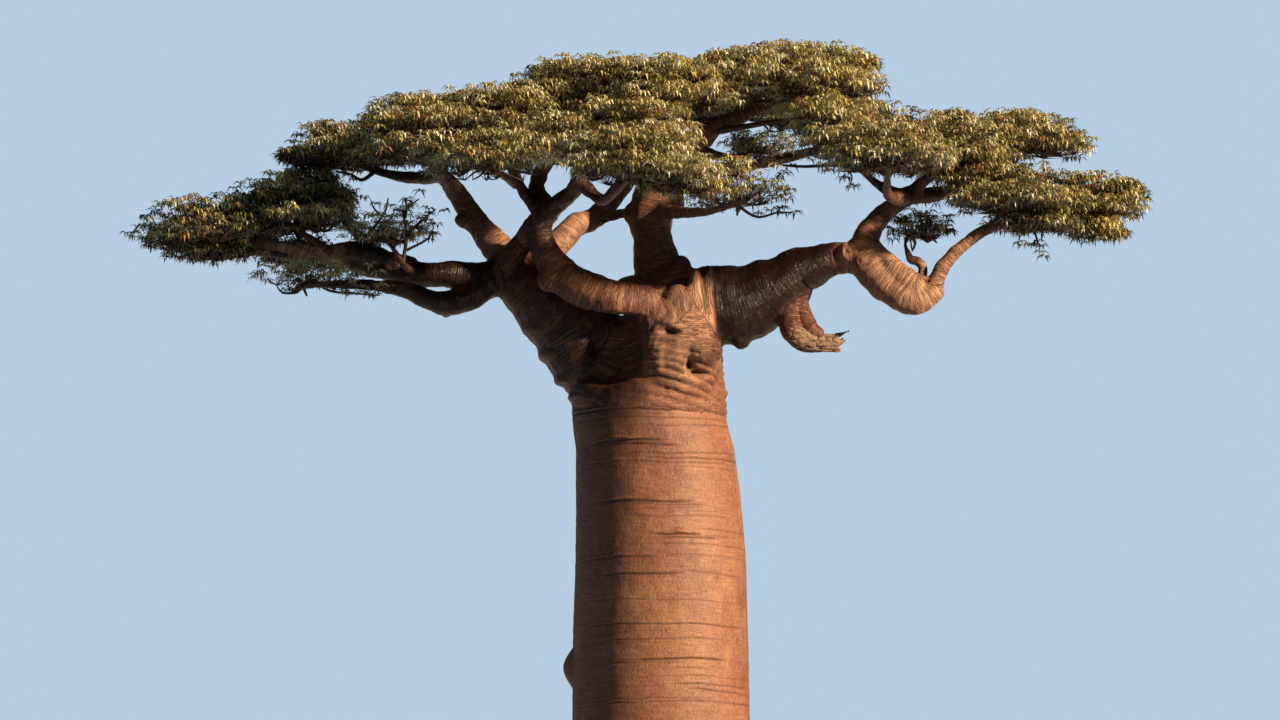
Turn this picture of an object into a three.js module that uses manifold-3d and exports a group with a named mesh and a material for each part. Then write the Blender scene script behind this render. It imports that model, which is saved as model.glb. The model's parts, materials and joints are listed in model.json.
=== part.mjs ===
// A full-grown baobab with a flat umbrella crown, at its real size in millimetres, +Z up.
// It stands on the flat cut under its trunk, with the origin at the middle of that cut.
// The trunk is a turned column with a root flare. Every bough is a tapering limb bent along a smooth
// path, and every mass of foliage is a lumpy core with twigs and spray-sized leaves standing out of it.
import * as THREE from "three";
import { mergeVertices } from "three/addons/utils/BufferGeometryUtils.js";
import Module from "manifold-3d";

const wasm = await Module();
wasm.setup();

// Driving dimensions
const GAP = 0.3; // clear distance between two pieces that meet
const SEED = 11;
const GOLDEN_ANGLE = Math.PI * (3 - Math.sqrt(5));

const TRUNK_SIDES = 24;
const FLARE_HEIGHT = 2600; // the roots' swelling dies away at this height
const FLARE_LOBES = 7;
const FLARE_DEPTH = 0.075; // how far the lobes stand out, as a share of the radius

const STEM_SHARE = 0.5; // a limb thins to this share of its last radius where its stem ends
const CORE_SHARE = 0.8; // size of a mass's core against the whole mass, where the mass names none
const CORE_LUMPS = 0.07;
const SPACE_MARGIN = 0.035; // clear share of a mass's size between two neighbouring masses
const LOWEST_TWIG = -0.34; // sine of the steepest downward twig
const TWIGS_PER_M2 = 3.5;
const FEWEST_TWIGS = 6;
const LEAVES_PER_TWIG = 2;
const EDGE_SHARE = 0.98; // the furthest leaf tips against the edge of the mass's own space
const TWIG_RADIUS = 45;
const LEAF = { length: 900, width: 460, thickness: 110, sunk: 0.25, lift: 0.85, fullFrom: 1250 };
const FRAME_STEPS = 60; // places along a limb at which its sides are worked out

const BARK = new THREE.MeshStandardMaterial({ color: 0x8a5a42, roughness: 0.75, metalness: 0 });
const DEAD_WOOD = new THREE.MeshStandardMaterial({ color: 0xa08468, roughness: 0.85, metalness: 0 });
const LEAVES = new THREE.MeshStandardMaterial({ color: 0x5f6b34, roughness: 0.6, metalness: 0 });

// The trunk from the ground cut to the top of its head: height, radius, and how far the centre has
// drifted along X. The wide ring at 19020 is the folded collar of bark under the head.
const TRUNK_RINGS = [
  { z: 0, radius: 1960, drift: 0 },
  { z: 350, radius: 1790, drift: 0 },
  { z: 1200, radius: 1680, drift: 0 },
  { z: 3000, radius: 1620, drift: 0 },
  { z: 6500, radius: 1590, drift: 0 },
  { z: 10000, radius: 1555, drift: 0 },
  { z: 13400, radius: 1515, drift: -12 },
  { z: 14760, radius: 1498, drift: -18 },
  { z: 16120, radius: 1458, drift: -20 },
  { z: 17200, radius: 1402, drift: -62 },
  { z: 17990, radius: 1352, drift: -118 },
  { z: 18500, radius: 1314, drift: -221 },
  { z: 18960, radius: 1316, drift: -238 },
  { z: 19400, radius: 1130, drift: -100 },
  { z: 19860, radius: 960, drift: 50 },
  { z: 20370, radius: 770, drift: 170 },
  { z: 20780, radius: 620, drift: 220 },
  { z: 20980, radius: 380, drift: 200 },
];
const TRUNK_TOP = 21050;

// Each limb leaves its parent at a share of the parent's length, or starts inside the trunk where it
// has a start of its own. It has a radius at its base and passes through points x, y, z with a radius
// at each. One that feeds a mass runs on to that mass and ends where it enters it. A split limb is two
// nodes, and a blunt one has a rounded end.
const LIMBS = [
  {
    name: "left_main_bough", start: [-580, 100, 19020], base: 940, blunt: true,
    through: [[-1500, 0, 20050, 790], [-2480, 0, 21150, 600]],
  },
  {
    name: "left_low_bough", parent: "left_main_bough", at: 0.88, base: 400, feeds: "left_tip",
    through: [[-3260, -100, 20950, 250], [-4450, -100, 21000, 200], [-5730, 0, 21250, 115]],
  },
  {
    name: "left_knee_branch", parent: "left_low_bough", at: 0.5, base: 140, feeds: "left_knee",
    through: [[-5150, 500, 21670, 85]],
  },
  {
    name: "left_mid_branch", parent: "left_low_bough", at: 0.72, base: 140, feeds: "left_mid",
    through: [[-5770, -250, 21420, 85]],
  },
  {
    name: "left_sprig_branch", parent: "left_low_bough", at: 0.45, base: 90, feeds: "left_sprig",
    through: [[-4410, -500, 21110, 60]],
  },
  {
    name: "left_under_bough", parent: "left_low_bough", at: 0.15, base: 280, feeds: "left_under",
    through: [[-3650, -400, 20450, 220], [-4440, -700, 20660, 135], [-5190, -1000, 20710, 90]],
  },
  {
    name: "left_high_bough", parent: "left_main_bough", at: 0.88, base: 340, feeds: "left_shoulder",
    through: [[-3110, 200, 21830, 225], [-3570, 100, 22490, 165]],
  },
  {
    name: "left_high_branch", parent: "left_high_bough", at: 0.8, base: 150, feeds: "left_high",
    through: [[-4470, 500, 22740, 90]],
  },
  {
    name: "front_bough", start: [510, -500, 20300], base: 400, feeds: "front_left", split: 0.43,
    through: [
      [-370, -1100, 20400, 340], [-1220, -1150, 20540, 340], [-1860, -850, 21060, 280],
      [-2050, -950, 21500, 205], [-1920, -1200, 21920, 160], [-1710, -2050, 22140, 125],
    ],
  },
  {
    name: "front_cross_branch", parent: "front_bough", at: 0.84, base: 140, feeds: "front_mid",
    through: [[-990, -2600, 21970, 90]],
  },
  {
    name: "front_pale_branch", parent: "front_bough", at: 0.68, base: 150, feeds: "left_crest",
    through: [[-2400, -1000, 22370, 105]],
  },
  {
    name: "front_red_branch", parent: "front_bough", at: 0.72, base: 170, feeds: "top_left",
    through: [[-2120, -300, 22630, 130]],
  },
  {
    name: "mid_back_bough", parent: "left_main_bough", at: 0.93, base: 260, feeds: "top_mid",
    through: [[-1570, 500, 21820, 215], [-890, 1100, 22340, 170]],
  },
  {
    name: "dead_spur", parent: "mid_back_bough", at: 0.5, base: 100, dead: true,
    through: [[-560, 900, 22180, 60]],
  },
  {
    name: "leader", start: [170, 200, 20480], base: 480, feeds: "top_right",
    through: [[-150, 250, 21600, 335], [-120, 300, 22290, 390], [650, 400, 23430, 170]],
  },
  {
    name: "leader_low_branch", parent: "leader", at: 0.45, base: 150, feeds: "front_right",
    through: [[640, -1200, 21920, 80]],
  },
  {
    name: "leader_side_branch", parent: "leader", at: 0.7, base: 110, feeds: "mid_right",
    through: [[1160, 900, 23130, 65]],
  },
  {
    name: "right_main_bough", start: [480, 0, 20370], base: 760, blunt: true,
    through: [
      [1560, -300, 20530, 680], [2340, -550, 20970, 440], [2880, -700, 21180, 300],
      [3450, -800, 21200, 280],
    ],
  },
  {
    name: "dead_stub", parent: "right_main_bough", at: 0.5, base: 300, dead: true,
    through: [[2200, -600, 20110, 240], [2470, -600, 19770, 205], [3150, -500, 19750, 120]],
  },
  {
    name: "right_rising_bough", parent: "right_main_bough", at: 0.95, base: 300, feeds: "right_mid",
    through: [[3590, -700, 21710, 220], [4080, -600, 22200, 150]],
  },
  {
    name: "right_inner_branch", parent: "right_rising_bough", at: 0.7, base: 120, feeds: "right_inner",
    through: [[3640, -900, 22470, 70]],
  },
  {
    name: "right_front_branch", parent: "right_rising_bough", at: 0.7, base: 150, feeds: "right_front",
    through: [[3830, -2000, 22130, 85]],
  },
  {
    name: "right_crest_branch", parent: "right_rising_bough", at: 0.72, base: 170, feeds: "right_high",
    through: [[4810, -200, 22380, 130], [5460, 500, 22640, 90]],
  },
  {
    name: "right_drop_bough", parent: "right_main_bough", at: 0.95, base: 320, split: 0.5, blunt: true,
    through: [
      [3790, -1000, 20750, 330], [4150, -1100, 20450, 300], [4440, -1100, 20450, 260],
      [4720, -1000, 20680, 225],
    ],
  },
  {
    name: "right_low_branch", parent: "right_drop_bough", at: 0.85, base: 170, feeds: "right_low",
    through: [[4780, -1050, 21010, 125], [5320, -1000, 21530, 110], [5680, -1050, 21720, 90]],
  },
  {
    name: "right_tip_branch", parent: "right_low_branch", at: 0.8, base: 110, feeds: "right_tip",
    through: [[6400, -600, 21790, 70]],
  },
  {
    name: "pocket_branch", parent: "right_drop_bough", at: 0.72, base: 90, feeds: "right_pocket",
    through: [[4380, -400, 21160, 60]],
  },
  {
    name: "back_main_bough", start: [30, 600, 20460], base: 430, feeds: "back_left",
    through: [[-170, 1900, 21680, 330], [-170, 3100, 22900, 230]],
  },
  {
    name: "back_far_left_branch", parent: "back_main_bough", at: 0.72, base: 200, feeds: "back_far_left",
    through: [[-1250, 3200, 23350, 150], [-2460, 3100, 23450, 100]],
  },
  {
    name: "back_right_branch", parent: "back_main_bough", at: 0.8, base: 180, feeds: "back_right",
    through: [[580, 4300, 23680, 110]],
  },
  {
    name: "back_far_right_branch", parent: "back_main_bough", at: 0.7, base: 200, feeds: "back_far_right",
    through: [[1440, 3900, 23340, 110]],
  },
];

// Each mass of foliage: the middle of its waist, its reach along X and Y, and how far it rises above
// and hangs below the waist. The thin masses name a smaller core, or none.
const MASSES = [
  { name: "left_tip", centre: [-7720, -300, 21550], reach: [1490, 1500], up: 780, down: 490 },
  { name: "left_mid", centre: [-6320, -200, 21900], reach: [1360, 1600], up: 850, down: 580 },
  { name: "left_knee", centre: [-5700, 800, 22330], reach: [790, 1200], up: 480, down: 340 },
  { name: "left_sprig", centre: [-4680, -600, 21590], reach: [850, 800], up: 640, down: 410, core: 0 },
  { name: "left_under", centre: [-6010, -1200, 20770], reach: [1350, 1000], up: 340, down: 470, core: 0.4 },
  { name: "left_high", centre: [-5460, 600, 23100], reach: [1130, 1800], up: 720, down: 310 },
  { name: "left_shoulder", centre: [-3910, -1400, 22900], reach: [1520, 1800], up: 1080, down: 440 },
  { name: "left_crest", centre: [-2810, -700, 23380], reach: [1290, 1500], up: 950, down: 470 },
  { name: "top_left", centre: [-1160, 900, 24060], reach: [1570, 2100], up: 890, down: 620 },
  { name: "top_mid", centre: [140, -400, 23910], reach: [1420, 2100], up: 810, down: 610 },
  { name: "top_right", centre: [2330, 300, 24280], reach: [1740, 2200], up: 830, down: 610 },
  { name: "front_left", centre: [-2830, -3600, 22370], reach: [1360, 1600], up: 670, down: 300 },
  { name: "front_mid", centre: [-560, -4800, 22130], reach: [1490, 1600], up: 860, down: 430 },
  { name: "front_right", centre: [1300, -2900, 21980], reach: [1100, 1300], up: 700, down: 530, core: 0.75 },
  { name: "mid_right", centre: [1750, 1500, 23370], reach: [720, 1000], up: 410, down: 340, core: 0 },
  { name: "right_inner", centre: [3060, -1200, 23080], reach: [950, 1400], up: 610, down: 420 },
  { name: "right_mid", centre: [4750, -900, 22810], reach: [1250, 1800], up: 910, down: 470 },
  { name: "right_front", centre: [3800, -3500, 22520], reach: [1270, 1400], up: 630, down: 370 },
  { name: "right_high", centre: [6160, 1200, 23320], reach: [1510, 1600], up: 720, down: 290 },
  { name: "right_low", centre: [5870, -1300, 22070], reach: [1350, 1400], up: 730, down: 340 },
  { name: "right_tip", centre: [7130, -200, 22070], reach: [1320, 1400], up: 650, down: 660 },
  { name: "right_pocket", centre: [4520, 600, 21820], reach: [720, 800], up: 510, down: 410, core: 0.4 },
  { name: "back_far_left", centre: [-4010, 3000, 23780], reach: [1520, 1900], up: 730, down: 380 },
  { name: "back_left", centre: [-1700, 4800, 24360], reach: [1540, 1700], up: 730, down: 380 },
  { name: "back_right", centre: [1280, 5000, 24550], reach: [1540, 1700], up: 700, down: 380 },
  { name: "back_far_right", centre: [3470, 3600, 23850], reach: [1490, 1800], up: 560, down: 350 },
];

const vector = (xyz) => new THREE.Vector3(...xyz);

// A repeatable number from 0 to 1 for any whole numbers, so that every run grows the same tree
function chance(...keys) {
  let hash = 2166136261 ^ SEED;
  for (const key of keys) {
    hash = Math.imul(hash ^ key, 16777619);
    hash = Math.imul(hash ^ (hash >>> 13), 1274126177);
  }
  return ((hash ^ (hash >>> 16)) >>> 0) / 4294967296;
}

// A closed geometry as a solid that can be cut and joined
function solidOf(geometry) {
  const bare = geometry.clone();
  bare.deleteAttribute("normal");
  bare.deleteAttribute("uv");
  const merged = mergeVertices(bare, 1e-3);
  return new wasm.Manifold(
    new wasm.Mesh({
      numProp: 3,
      vertProperties: new Float32Array(merged.attributes.position.array),
      triVerts: new Uint32Array(merged.index.array),
    }),
  );
}

// The largest body of a solid: loose scraps are dropped and sealed hollows filled
function largestBody(solid) {
  return solid.decompose().reduce((best, body) => (body.volume() > best.volume() ? body : best));
}

function meshOf(name, solid, material) {
  const { vertProperties, triVerts } = solid.getMesh();
  const geometry = new THREE.BufferGeometry();
  geometry.setAttribute("position", new THREE.BufferAttribute(new Float32Array(vertProperties), 3));
  geometry.setIndex(new THREE.BufferAttribute(new Uint32Array(triVerts), 1));
  geometry.computeVertexNormals();
  const mesh = new THREE.Mesh(geometry, material);
  mesh.name = name;
  return mesh;
}

function boxesMeet(a, b) {
  const boxA = a.boundingBox();
  const boxB = b.boundingBox();
  return [0, 1, 2].every((i) => boxA.min[i] < boxB.max[i] && boxB.min[i] < boxA.max[i]);
}

function cutClear(solid, others) {
  const near = others.filter((other) => boxesMeet(solid, other));
  return near.reduce((rest, other) => rest.subtract(other), solid);
}

function touches(solid, others) {
  return others.some((other) => boxesMeet(solid, other) && solid.intersect(other).volume() > 0);
}

// The trunk: a profile turned about the axis, its foot pressed out into lobes and its axis led along
// the drift. To grow it moves the whole surface outwards by that distance.
function trunkSolid(grow = 0) {
  const profile = [new THREE.Vector2(0, -grow)];
  for (const ring of TRUNK_RINGS) {
    profile.push(new THREE.Vector2(ring.radius + grow, ring.z + (ring.z > 0 ? grow : -grow)));
  }
  profile.push(new THREE.Vector2(0, TRUNK_TOP + 2 * grow));
  const geometry = new THREE.LatheGeometry(profile, TRUNK_SIDES);
  geometry.rotateX(Math.PI / 2);
  const heights = TRUNK_RINGS.map((ring) => ring.z);
  const drifts = TRUNK_RINGS.map((ring) => ring.drift);
  const position = geometry.attributes.position;
  for (let i = 0; i < position.count; i++) {
    const z = position.getZ(i);
    const around = Math.atan2(position.getY(i), position.getX(i));
    const fade = Math.max(0, 1 - z / FLARE_HEIGHT) ** 2;
    const lobe = 1 + FLARE_DEPTH * fade * Math.cos(FLARE_LOBES * around + Math.sin(2 * around));
    position.setXY(i, position.getX(i) * lobe + between(heights, drifts, z), position.getY(i) * lobe);
  }
  return solidOf(geometry);
}

// The value at x on the broken line through the points (xs, ys)
function between(xs, ys, x) {
  const next = xs.findIndex((known) => known > x);
  if (next === 0) return ys[0];
  if (next < 0) return ys[ys.length - 1];
  const share = (x - xs[next - 1]) / (xs[next] - xs[next - 1]);
  return THREE.MathUtils.lerp(ys[next - 1], ys[next], share);
}

// How much of its mass's size lies between a point and the centre: 0 at the centre, 1 at the edge
function spaceShare(mass, point) {
  const [x, y, z] = point.clone().sub(vector(mass.centre)).toArray();
  return Math.hypot(x / mass.reach[0], y / mass.reach[1], z / (z > 0 ? mass.up : mass.down));
}

// Whether a point is in the mass's own space, inside its edge and nearer to it than to any other mass
function inOwnSpace(mass, point) {
  const share = spaceShare(mass, point);
  const others = MASSES.filter((other) => other !== mass);
  return share < 1 && others.every((other) => share < spaceShare(other, point) - SPACE_MARGIN);
}

// The point at a share of the mass's size along a direction of the unit sphere
function pointAlong(mass, direction, share) {
  const rise = direction.z > 0 ? mass.up : mass.down;
  const offset = direction.clone().multiply(new THREE.Vector3(mass.reach[0], mass.reach[1], rise));
  return vector(mass.centre).addScaledVector(offset, share);
}

// How far the mass's own space runs along a direction, as a share of its size
function spaceAlong(mass, direction) {
  const step = 0.02;
  let share = step;
  while (share < 1 && inOwnSpace(mass, pointAlong(mass, direction, share + step))) share += step;
  return share;
}

// Where the stem ends inside the mass, a little below its centre
function hubOf(mass) {
  return vector(mass.centre).add(new THREE.Vector3(0, 0, -0.2 * mass.down));
}

// A limb's path and its radius along it. A limb that feeds a mass runs to the mass's hub, and its wood
// ends at the share of the path where it enters the mass.
function planLimb(limb, plans) {
  const parent = plans.get(limb.parent);
  const mass = MASSES.find((each) => each.name === limb.feeds);
  const points = [limb.start ? vector(limb.start) : parent.curve.getPoint(limb.at)];
  const radii = [limb.base];
  for (const [x, y, z, radius] of limb.through) {
    points.push(new THREE.Vector3(x, y, z));
    radii.push(radius);
  }
  if (mass) {
    points.push(hubOf(mass));
    radii.push(STEM_SHARE * radii[radii.length - 1]);
  }
  const curve = new THREE.CatmullRomCurve3(points, false, "catmullrom", 0.5);
  let end = 1;
  while (mass && spaceShare(mass, curve.getPoint(end - 0.01)) < 0.9) end -= 0.01;
  const length = curve.getLength();
  const sides = sidesAlong(curve);
  const radiusAt = (t) => {
    const rounding = limb.blunt ? Math.sqrt(Math.max(0, 1 - (Math.max(0, t - 0.9) / 0.105) ** 2)) : 1;
    return between(radii.map((_, i) => i / (radii.length - 1)), radii, t) * rounding;
  };
  return { ...limb, mass, curve, end, length, sides, radiusAt };
}

// The share of a limb's path that the gap takes up at a place on it
function gapAt(plan, t) {
  const small = 0.001;
  const speed = plan.curve.getPoint(t + small).distanceTo(plan.curve.getPoint(t - small)) / (2 * small);
  return GAP / speed;
}

// Directions square to a path all along it, none of them spun about it against the one before
function sidesAlong(curve) {
  const start = curve.getTangent(0);
  const sides = [squareTo(start, new THREE.Vector3(Math.abs(start.y) > 0.8 ? 1 : 0, 1, 0))];
  for (let i = 1; i <= FRAME_STEPS; i++) {
    sides.push(squareTo(curve.getTangent(i / FRAME_STEPS), sides[i - 1]));
  }
  return sides;
}

function squareTo(tangent, side) {
  return side.clone().addScaledVector(tangent, -side.dot(tangent)).normalize();
}

// The stretch of a limb between two shares of its path: a capped cylinder bent along the path
function stretchOf(plan, from, to, grow = 0) {
  const widest = plan.radiusAt(from);
  const sides = widest > 250 ? 10 : widest > 120 ? 7 : 5;
  const steps = THREE.MathUtils.clamp(Math.round(((to - from) * plan.length) / 520), 2, 8);
  const geometry = new THREE.CylinderGeometry(1, 1, 1, sides, steps);
  const position = geometry.attributes.position;
  for (let i = 0; i < position.count; i++) {
    const share = position.getY(i) + 0.5;
    const t = THREE.MathUtils.lerp(from, to, share);
    const tangent = plan.curve.getTangent(t);
    const side = squareTo(tangent, plan.sides[Math.round(t * FRAME_STEPS)]);
    const across = tangent.clone().cross(side);
    const radius = plan.radiusAt(t) + grow;
    const endShift = share < 0.001 ? -grow : share > 0.999 ? grow : 0;
    const point = plan.curve.getPoint(t).addScaledVector(tangent, endShift);
    point.addScaledVector(side, position.getX(i) * radius).addScaledVector(across, position.getZ(i) * radius);
    position.setXYZ(i, ...point.toArray());
  }
  const solid = solidOf(geometry);
  if (solid.volume() > 0) return solid;
  geometry.index.array.reverse();
  return solidOf(geometry);
}

// A mass's core: a ball of triangles drawn out to the edge of the mass's own space, with lumps
function coreSolid(mass, key) {
  const geometry = new THREE.IcosahedronGeometry(1, 1);
  const position = geometry.attributes.position;
  const direction = new THREE.Vector3();
  for (let i = 0; i < position.count; i++) {
    direction.fromBufferAttribute(position, i).normalize();
    const lump = Math.sin(4.1 * direction.x + key) * Math.sin(3.7 * direction.y + 2 * key);
    const share = spaceAlong(mass, direction) * (mass.core ?? CORE_SHARE) * (1 + CORE_LUMPS * lump);
    position.setXYZ(i, ...pointAlong(mass, direction, share).toArray());
  }
  return solidOf(geometry);
}

// The direction of twig number k of n, fanned out by the golden angle from the top down past the waist
function twigDirection(k, n, key) {
  const rise = 1 - ((1 - LOWEST_TWIG) * (k + 0.5)) / n;
  const turn = k * GOLDEN_ANGLE + 2 * Math.PI * chance(key);
  const flat = Math.sqrt(1 - rise * rise);
  return new THREE.Vector3(flat * Math.cos(turn), flat * Math.sin(turn), rise);
}

// Moves a shape that was made along +X to start at a point and run along a direction
function placed(geometry, start, direction, roll = 0) {
  const turn = new THREE.Quaternion().setFromUnitVectors(new THREE.Vector3(1, 0, 0), direction);
  geometry.rotateX(roll);
  geometry.applyQuaternion(turn);
  geometry.translate(...start.toArray());
  return geometry;
}

// A three-sided pointed twig from one point to another
function twigSolid(from, to, radius) {
  const direction = to.clone().sub(from);
  const length = direction.length();
  const geometry = new THREE.ConeGeometry(radius, length, 3);
  geometry.rotateZ(-Math.PI / 2).translate(length / 2, 0, 0);
  return solidOf(placed(geometry, from, direction.normalize()));
}

// A leaf the size of a spray: a flat blade, pointed at both ends, with its root sunk in the twig
function leafGeometry(root, direction, size, roll) {
  const geometry = new THREE.OctahedronGeometry(0.5);
  geometry.scale(size * LEAF.length, size * LEAF.width, size * LEAF.thickness);
  geometry.translate((0.5 - LEAF.sunk) * size * LEAF.length, 0, 0);
  return placed(geometry, root, direction, roll);
}

// One twig and the leaves round its end. The first leaf reaches from the twig's end to the edge of the
// mass's own space, flatter than the twig, and the next ones spread to its sides. A piece that would
// leave the space or touch a limb is left out.
function twigAndLeaves(mass, root, direction, keys, limbs) {
  const edge = pointAlong(mass, direction, EDGE_SHARE * spaceAlong(mass, direction));
  const outward = edge.clone().sub(vector(mass.centre));
  outward.z *= LEAF.lift;
  outward.normalize();
  const fit = Math.min(1, Math.min(...mass.reach) / LEAF.fullFrom);
  const size = fit * (0.85 + 0.3 * chance(...keys, 1));
  const end = edge.clone().addScaledVector(outward, -(1 - LEAF.sunk) * size * LEAF.length);
  const twig = twigSolid(root, end.clone().addScaledVector(outward, 0.1 * size * LEAF.length), TWIG_RADIUS);
  if (touches(twig, limbs)) return [];
  const side = new THREE.Vector3(-outward.y, outward.x, 0).normalize();
  const solids = [twig];
  for (let i = 0; i < LEAVES_PER_TWIG; i++) {
    const hand = chance(...keys, 5) < 0.5 ? 1 : -1;
    const spread = i === 0 ? 0 : hand * (i % 2 ? 1 : -1) * (0.8 + 0.5 * chance(...keys, i, 2));
    const heading = outward.clone().addScaledVector(side, spread).normalize();
    const roll = 0.8 * (chance(...keys, i, 3) - 0.5);
    const geometry = leafGeometry(end, heading, i === 0 ? size : 0.85 * size, roll);
    if (!cornersOf(geometry).every((corner) => inOwnSpace(mass, corner))) continue;
    const leaf = solidOf(geometry);
    if (!touches(leaf, limbs)) solids.push(leaf);
  }
  return solids;
}

function cornersOf(geometry) {
  const position = geometry.attributes.position;
  const places = [...Array(position.count).keys()];
  return places.map((i) => new THREE.Vector3().fromBufferAttribute(position, i));
}

// One mass: the stem that carries on from its limb, its core, and twigs with leaves
function foliageSolid(mass, plan, limbs, key) {
  const stem = stretchOf(plan, plan.end + gapAt(plan, plan.end), 1);
  const hub = hubOf(mass);
  const parts = [stem];
  if (mass.core !== 0) parts.push(coreSolid(mass, key));
  const area = (mass.reach[0] * mass.reach[1]) / 1e6;
  const count = Math.max(FEWEST_TWIGS, Math.round(area * TWIGS_PER_M2));
  for (let k = 0; k < count; k++) {
    const direction = twigDirection(k, count, key);
    const onStem = plan.curve.getPoint(1 - ((1 - plan.end) * k) / count);
    const inCore = hub.clone().lerp(pointAlong(mass, direction, 1), 0.3);
    const root = mass.core === 0 ? onStem : inCore;
    parts.push(...twigAndLeaves(mass, root, direction, [key, k], limbs));
  }
  const [first, ...rest] = parts;
  const joined = rest.reduce((whole, part) => whole.add(part), first);
  return largestBody(cutClear(joined, limbs));
}

const tree = new THREE.Group();
tree.name = "baobab_tree";
tree.add(meshOf("trunk", trunkSolid(), BARK));

// Limbs are cut, in order, to meet the trunk and the limbs before them with the gap all round
const plans = new Map();
const taken = [trunkSolid(GAP)];
for (const limb of LIMBS) {
  const plan = planLimb(limb, plans);
  plans.set(limb.name, plan);
  const stretches = limb.split
    ? [[0, limb.split, "_lower"], [limb.split + gapAt(plan, limb.split), plan.end, "_upper"]]
    : [[0, plan.end, ""]];
  for (const [from, to, suffix] of stretches) {
    const solid = largestBody(cutClear(stretchOf(plan, from, to), taken));
    tree.add(meshOf(limb.name + suffix, solid, limb.dead ? DEAD_WOOD : BARK));
  }
  for (const [from, to] of stretches) taken.push(stretchOf(plan, from, to, GAP));
}

MASSES.forEach((mass, key) => {
  const feeder = [...plans.values()].find((plan) => plan.mass === mass);
  tree.add(meshOf("foliage_" + mass.name, foliageSolid(mass, feeder, taken, key), LEAVES));
});

export default tree;
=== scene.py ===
# %% [markdown]
# # A baobab, from its column of a trunk to its flat crown
# The tree stands in three parts that grow into one another: a smooth round column, a head where short
# thick boughs swell out of it, and an umbrella of layered leaf pads. Each part is made in its own way
# here: the column is spun, the boughs are bent pipes melted together and then sculpted, and the crown
# is grown by a rule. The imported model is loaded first. It gives the places, and it is never moved.

# %% Load the frame
import json
import math

import bmesh
import bpy
import numpy as np
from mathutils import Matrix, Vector, noise

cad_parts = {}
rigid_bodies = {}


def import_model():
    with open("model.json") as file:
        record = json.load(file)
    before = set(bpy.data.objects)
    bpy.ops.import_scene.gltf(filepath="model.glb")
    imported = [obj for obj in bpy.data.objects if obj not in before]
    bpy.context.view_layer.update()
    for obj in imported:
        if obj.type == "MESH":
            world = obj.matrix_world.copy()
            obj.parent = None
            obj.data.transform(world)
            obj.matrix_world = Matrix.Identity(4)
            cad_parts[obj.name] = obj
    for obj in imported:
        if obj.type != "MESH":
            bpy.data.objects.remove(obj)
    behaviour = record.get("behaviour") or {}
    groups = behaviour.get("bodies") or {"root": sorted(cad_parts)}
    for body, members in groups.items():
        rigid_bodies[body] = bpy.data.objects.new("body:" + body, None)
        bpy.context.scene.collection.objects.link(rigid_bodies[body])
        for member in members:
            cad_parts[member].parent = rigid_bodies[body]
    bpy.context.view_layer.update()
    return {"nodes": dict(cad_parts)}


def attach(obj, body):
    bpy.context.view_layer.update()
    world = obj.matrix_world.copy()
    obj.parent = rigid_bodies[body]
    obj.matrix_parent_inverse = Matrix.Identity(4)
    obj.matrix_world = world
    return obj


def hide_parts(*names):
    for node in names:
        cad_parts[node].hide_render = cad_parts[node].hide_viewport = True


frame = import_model()

# %% [markdown]
# ## The tree's plan
# The trunk is a list of rings, each limb a smooth path with a radius at every point, and each mass of
# leaves an egg-shaped space that a limb feeds. These are the same named sizes as in the tree's CAD
# source, in millimetres, so everything that grows from them lands where the solids are.

# %% Sizes of the trunk, the limbs and the leaf masses
MM = 0.001
SEED = 11
GOLDEN_ANGLE = math.pi * (3 - math.sqrt(5))
STEM_SHARE = 0.5
LOWEST_TWIG = -0.34
FLARE_HEIGHT = 2.6
FLARE_LOBES = 7
FLARE_DEPTH = 0.075

# height, radius, and how far the middle has drifted to the right
TRUNK_RINGS = [
    (0, 1960, 0), (350, 1790, 0), (1200, 1680, 0), (3000, 1620, 0), (6500, 1590, 0),
    (10000, 1555, 0), (13400, 1515, -12), (14760, 1498, -18), (16120, 1458, -20),
    (17200, 1402, -62), (17990, 1352, -118), (18500, 1314, -221), (18960, 1316, -238),
    (19400, 1130, -100), (19860, 960, 50), (20370, 770, 170), (20780, 620, 220), (20980, 380, 200),
]
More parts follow.
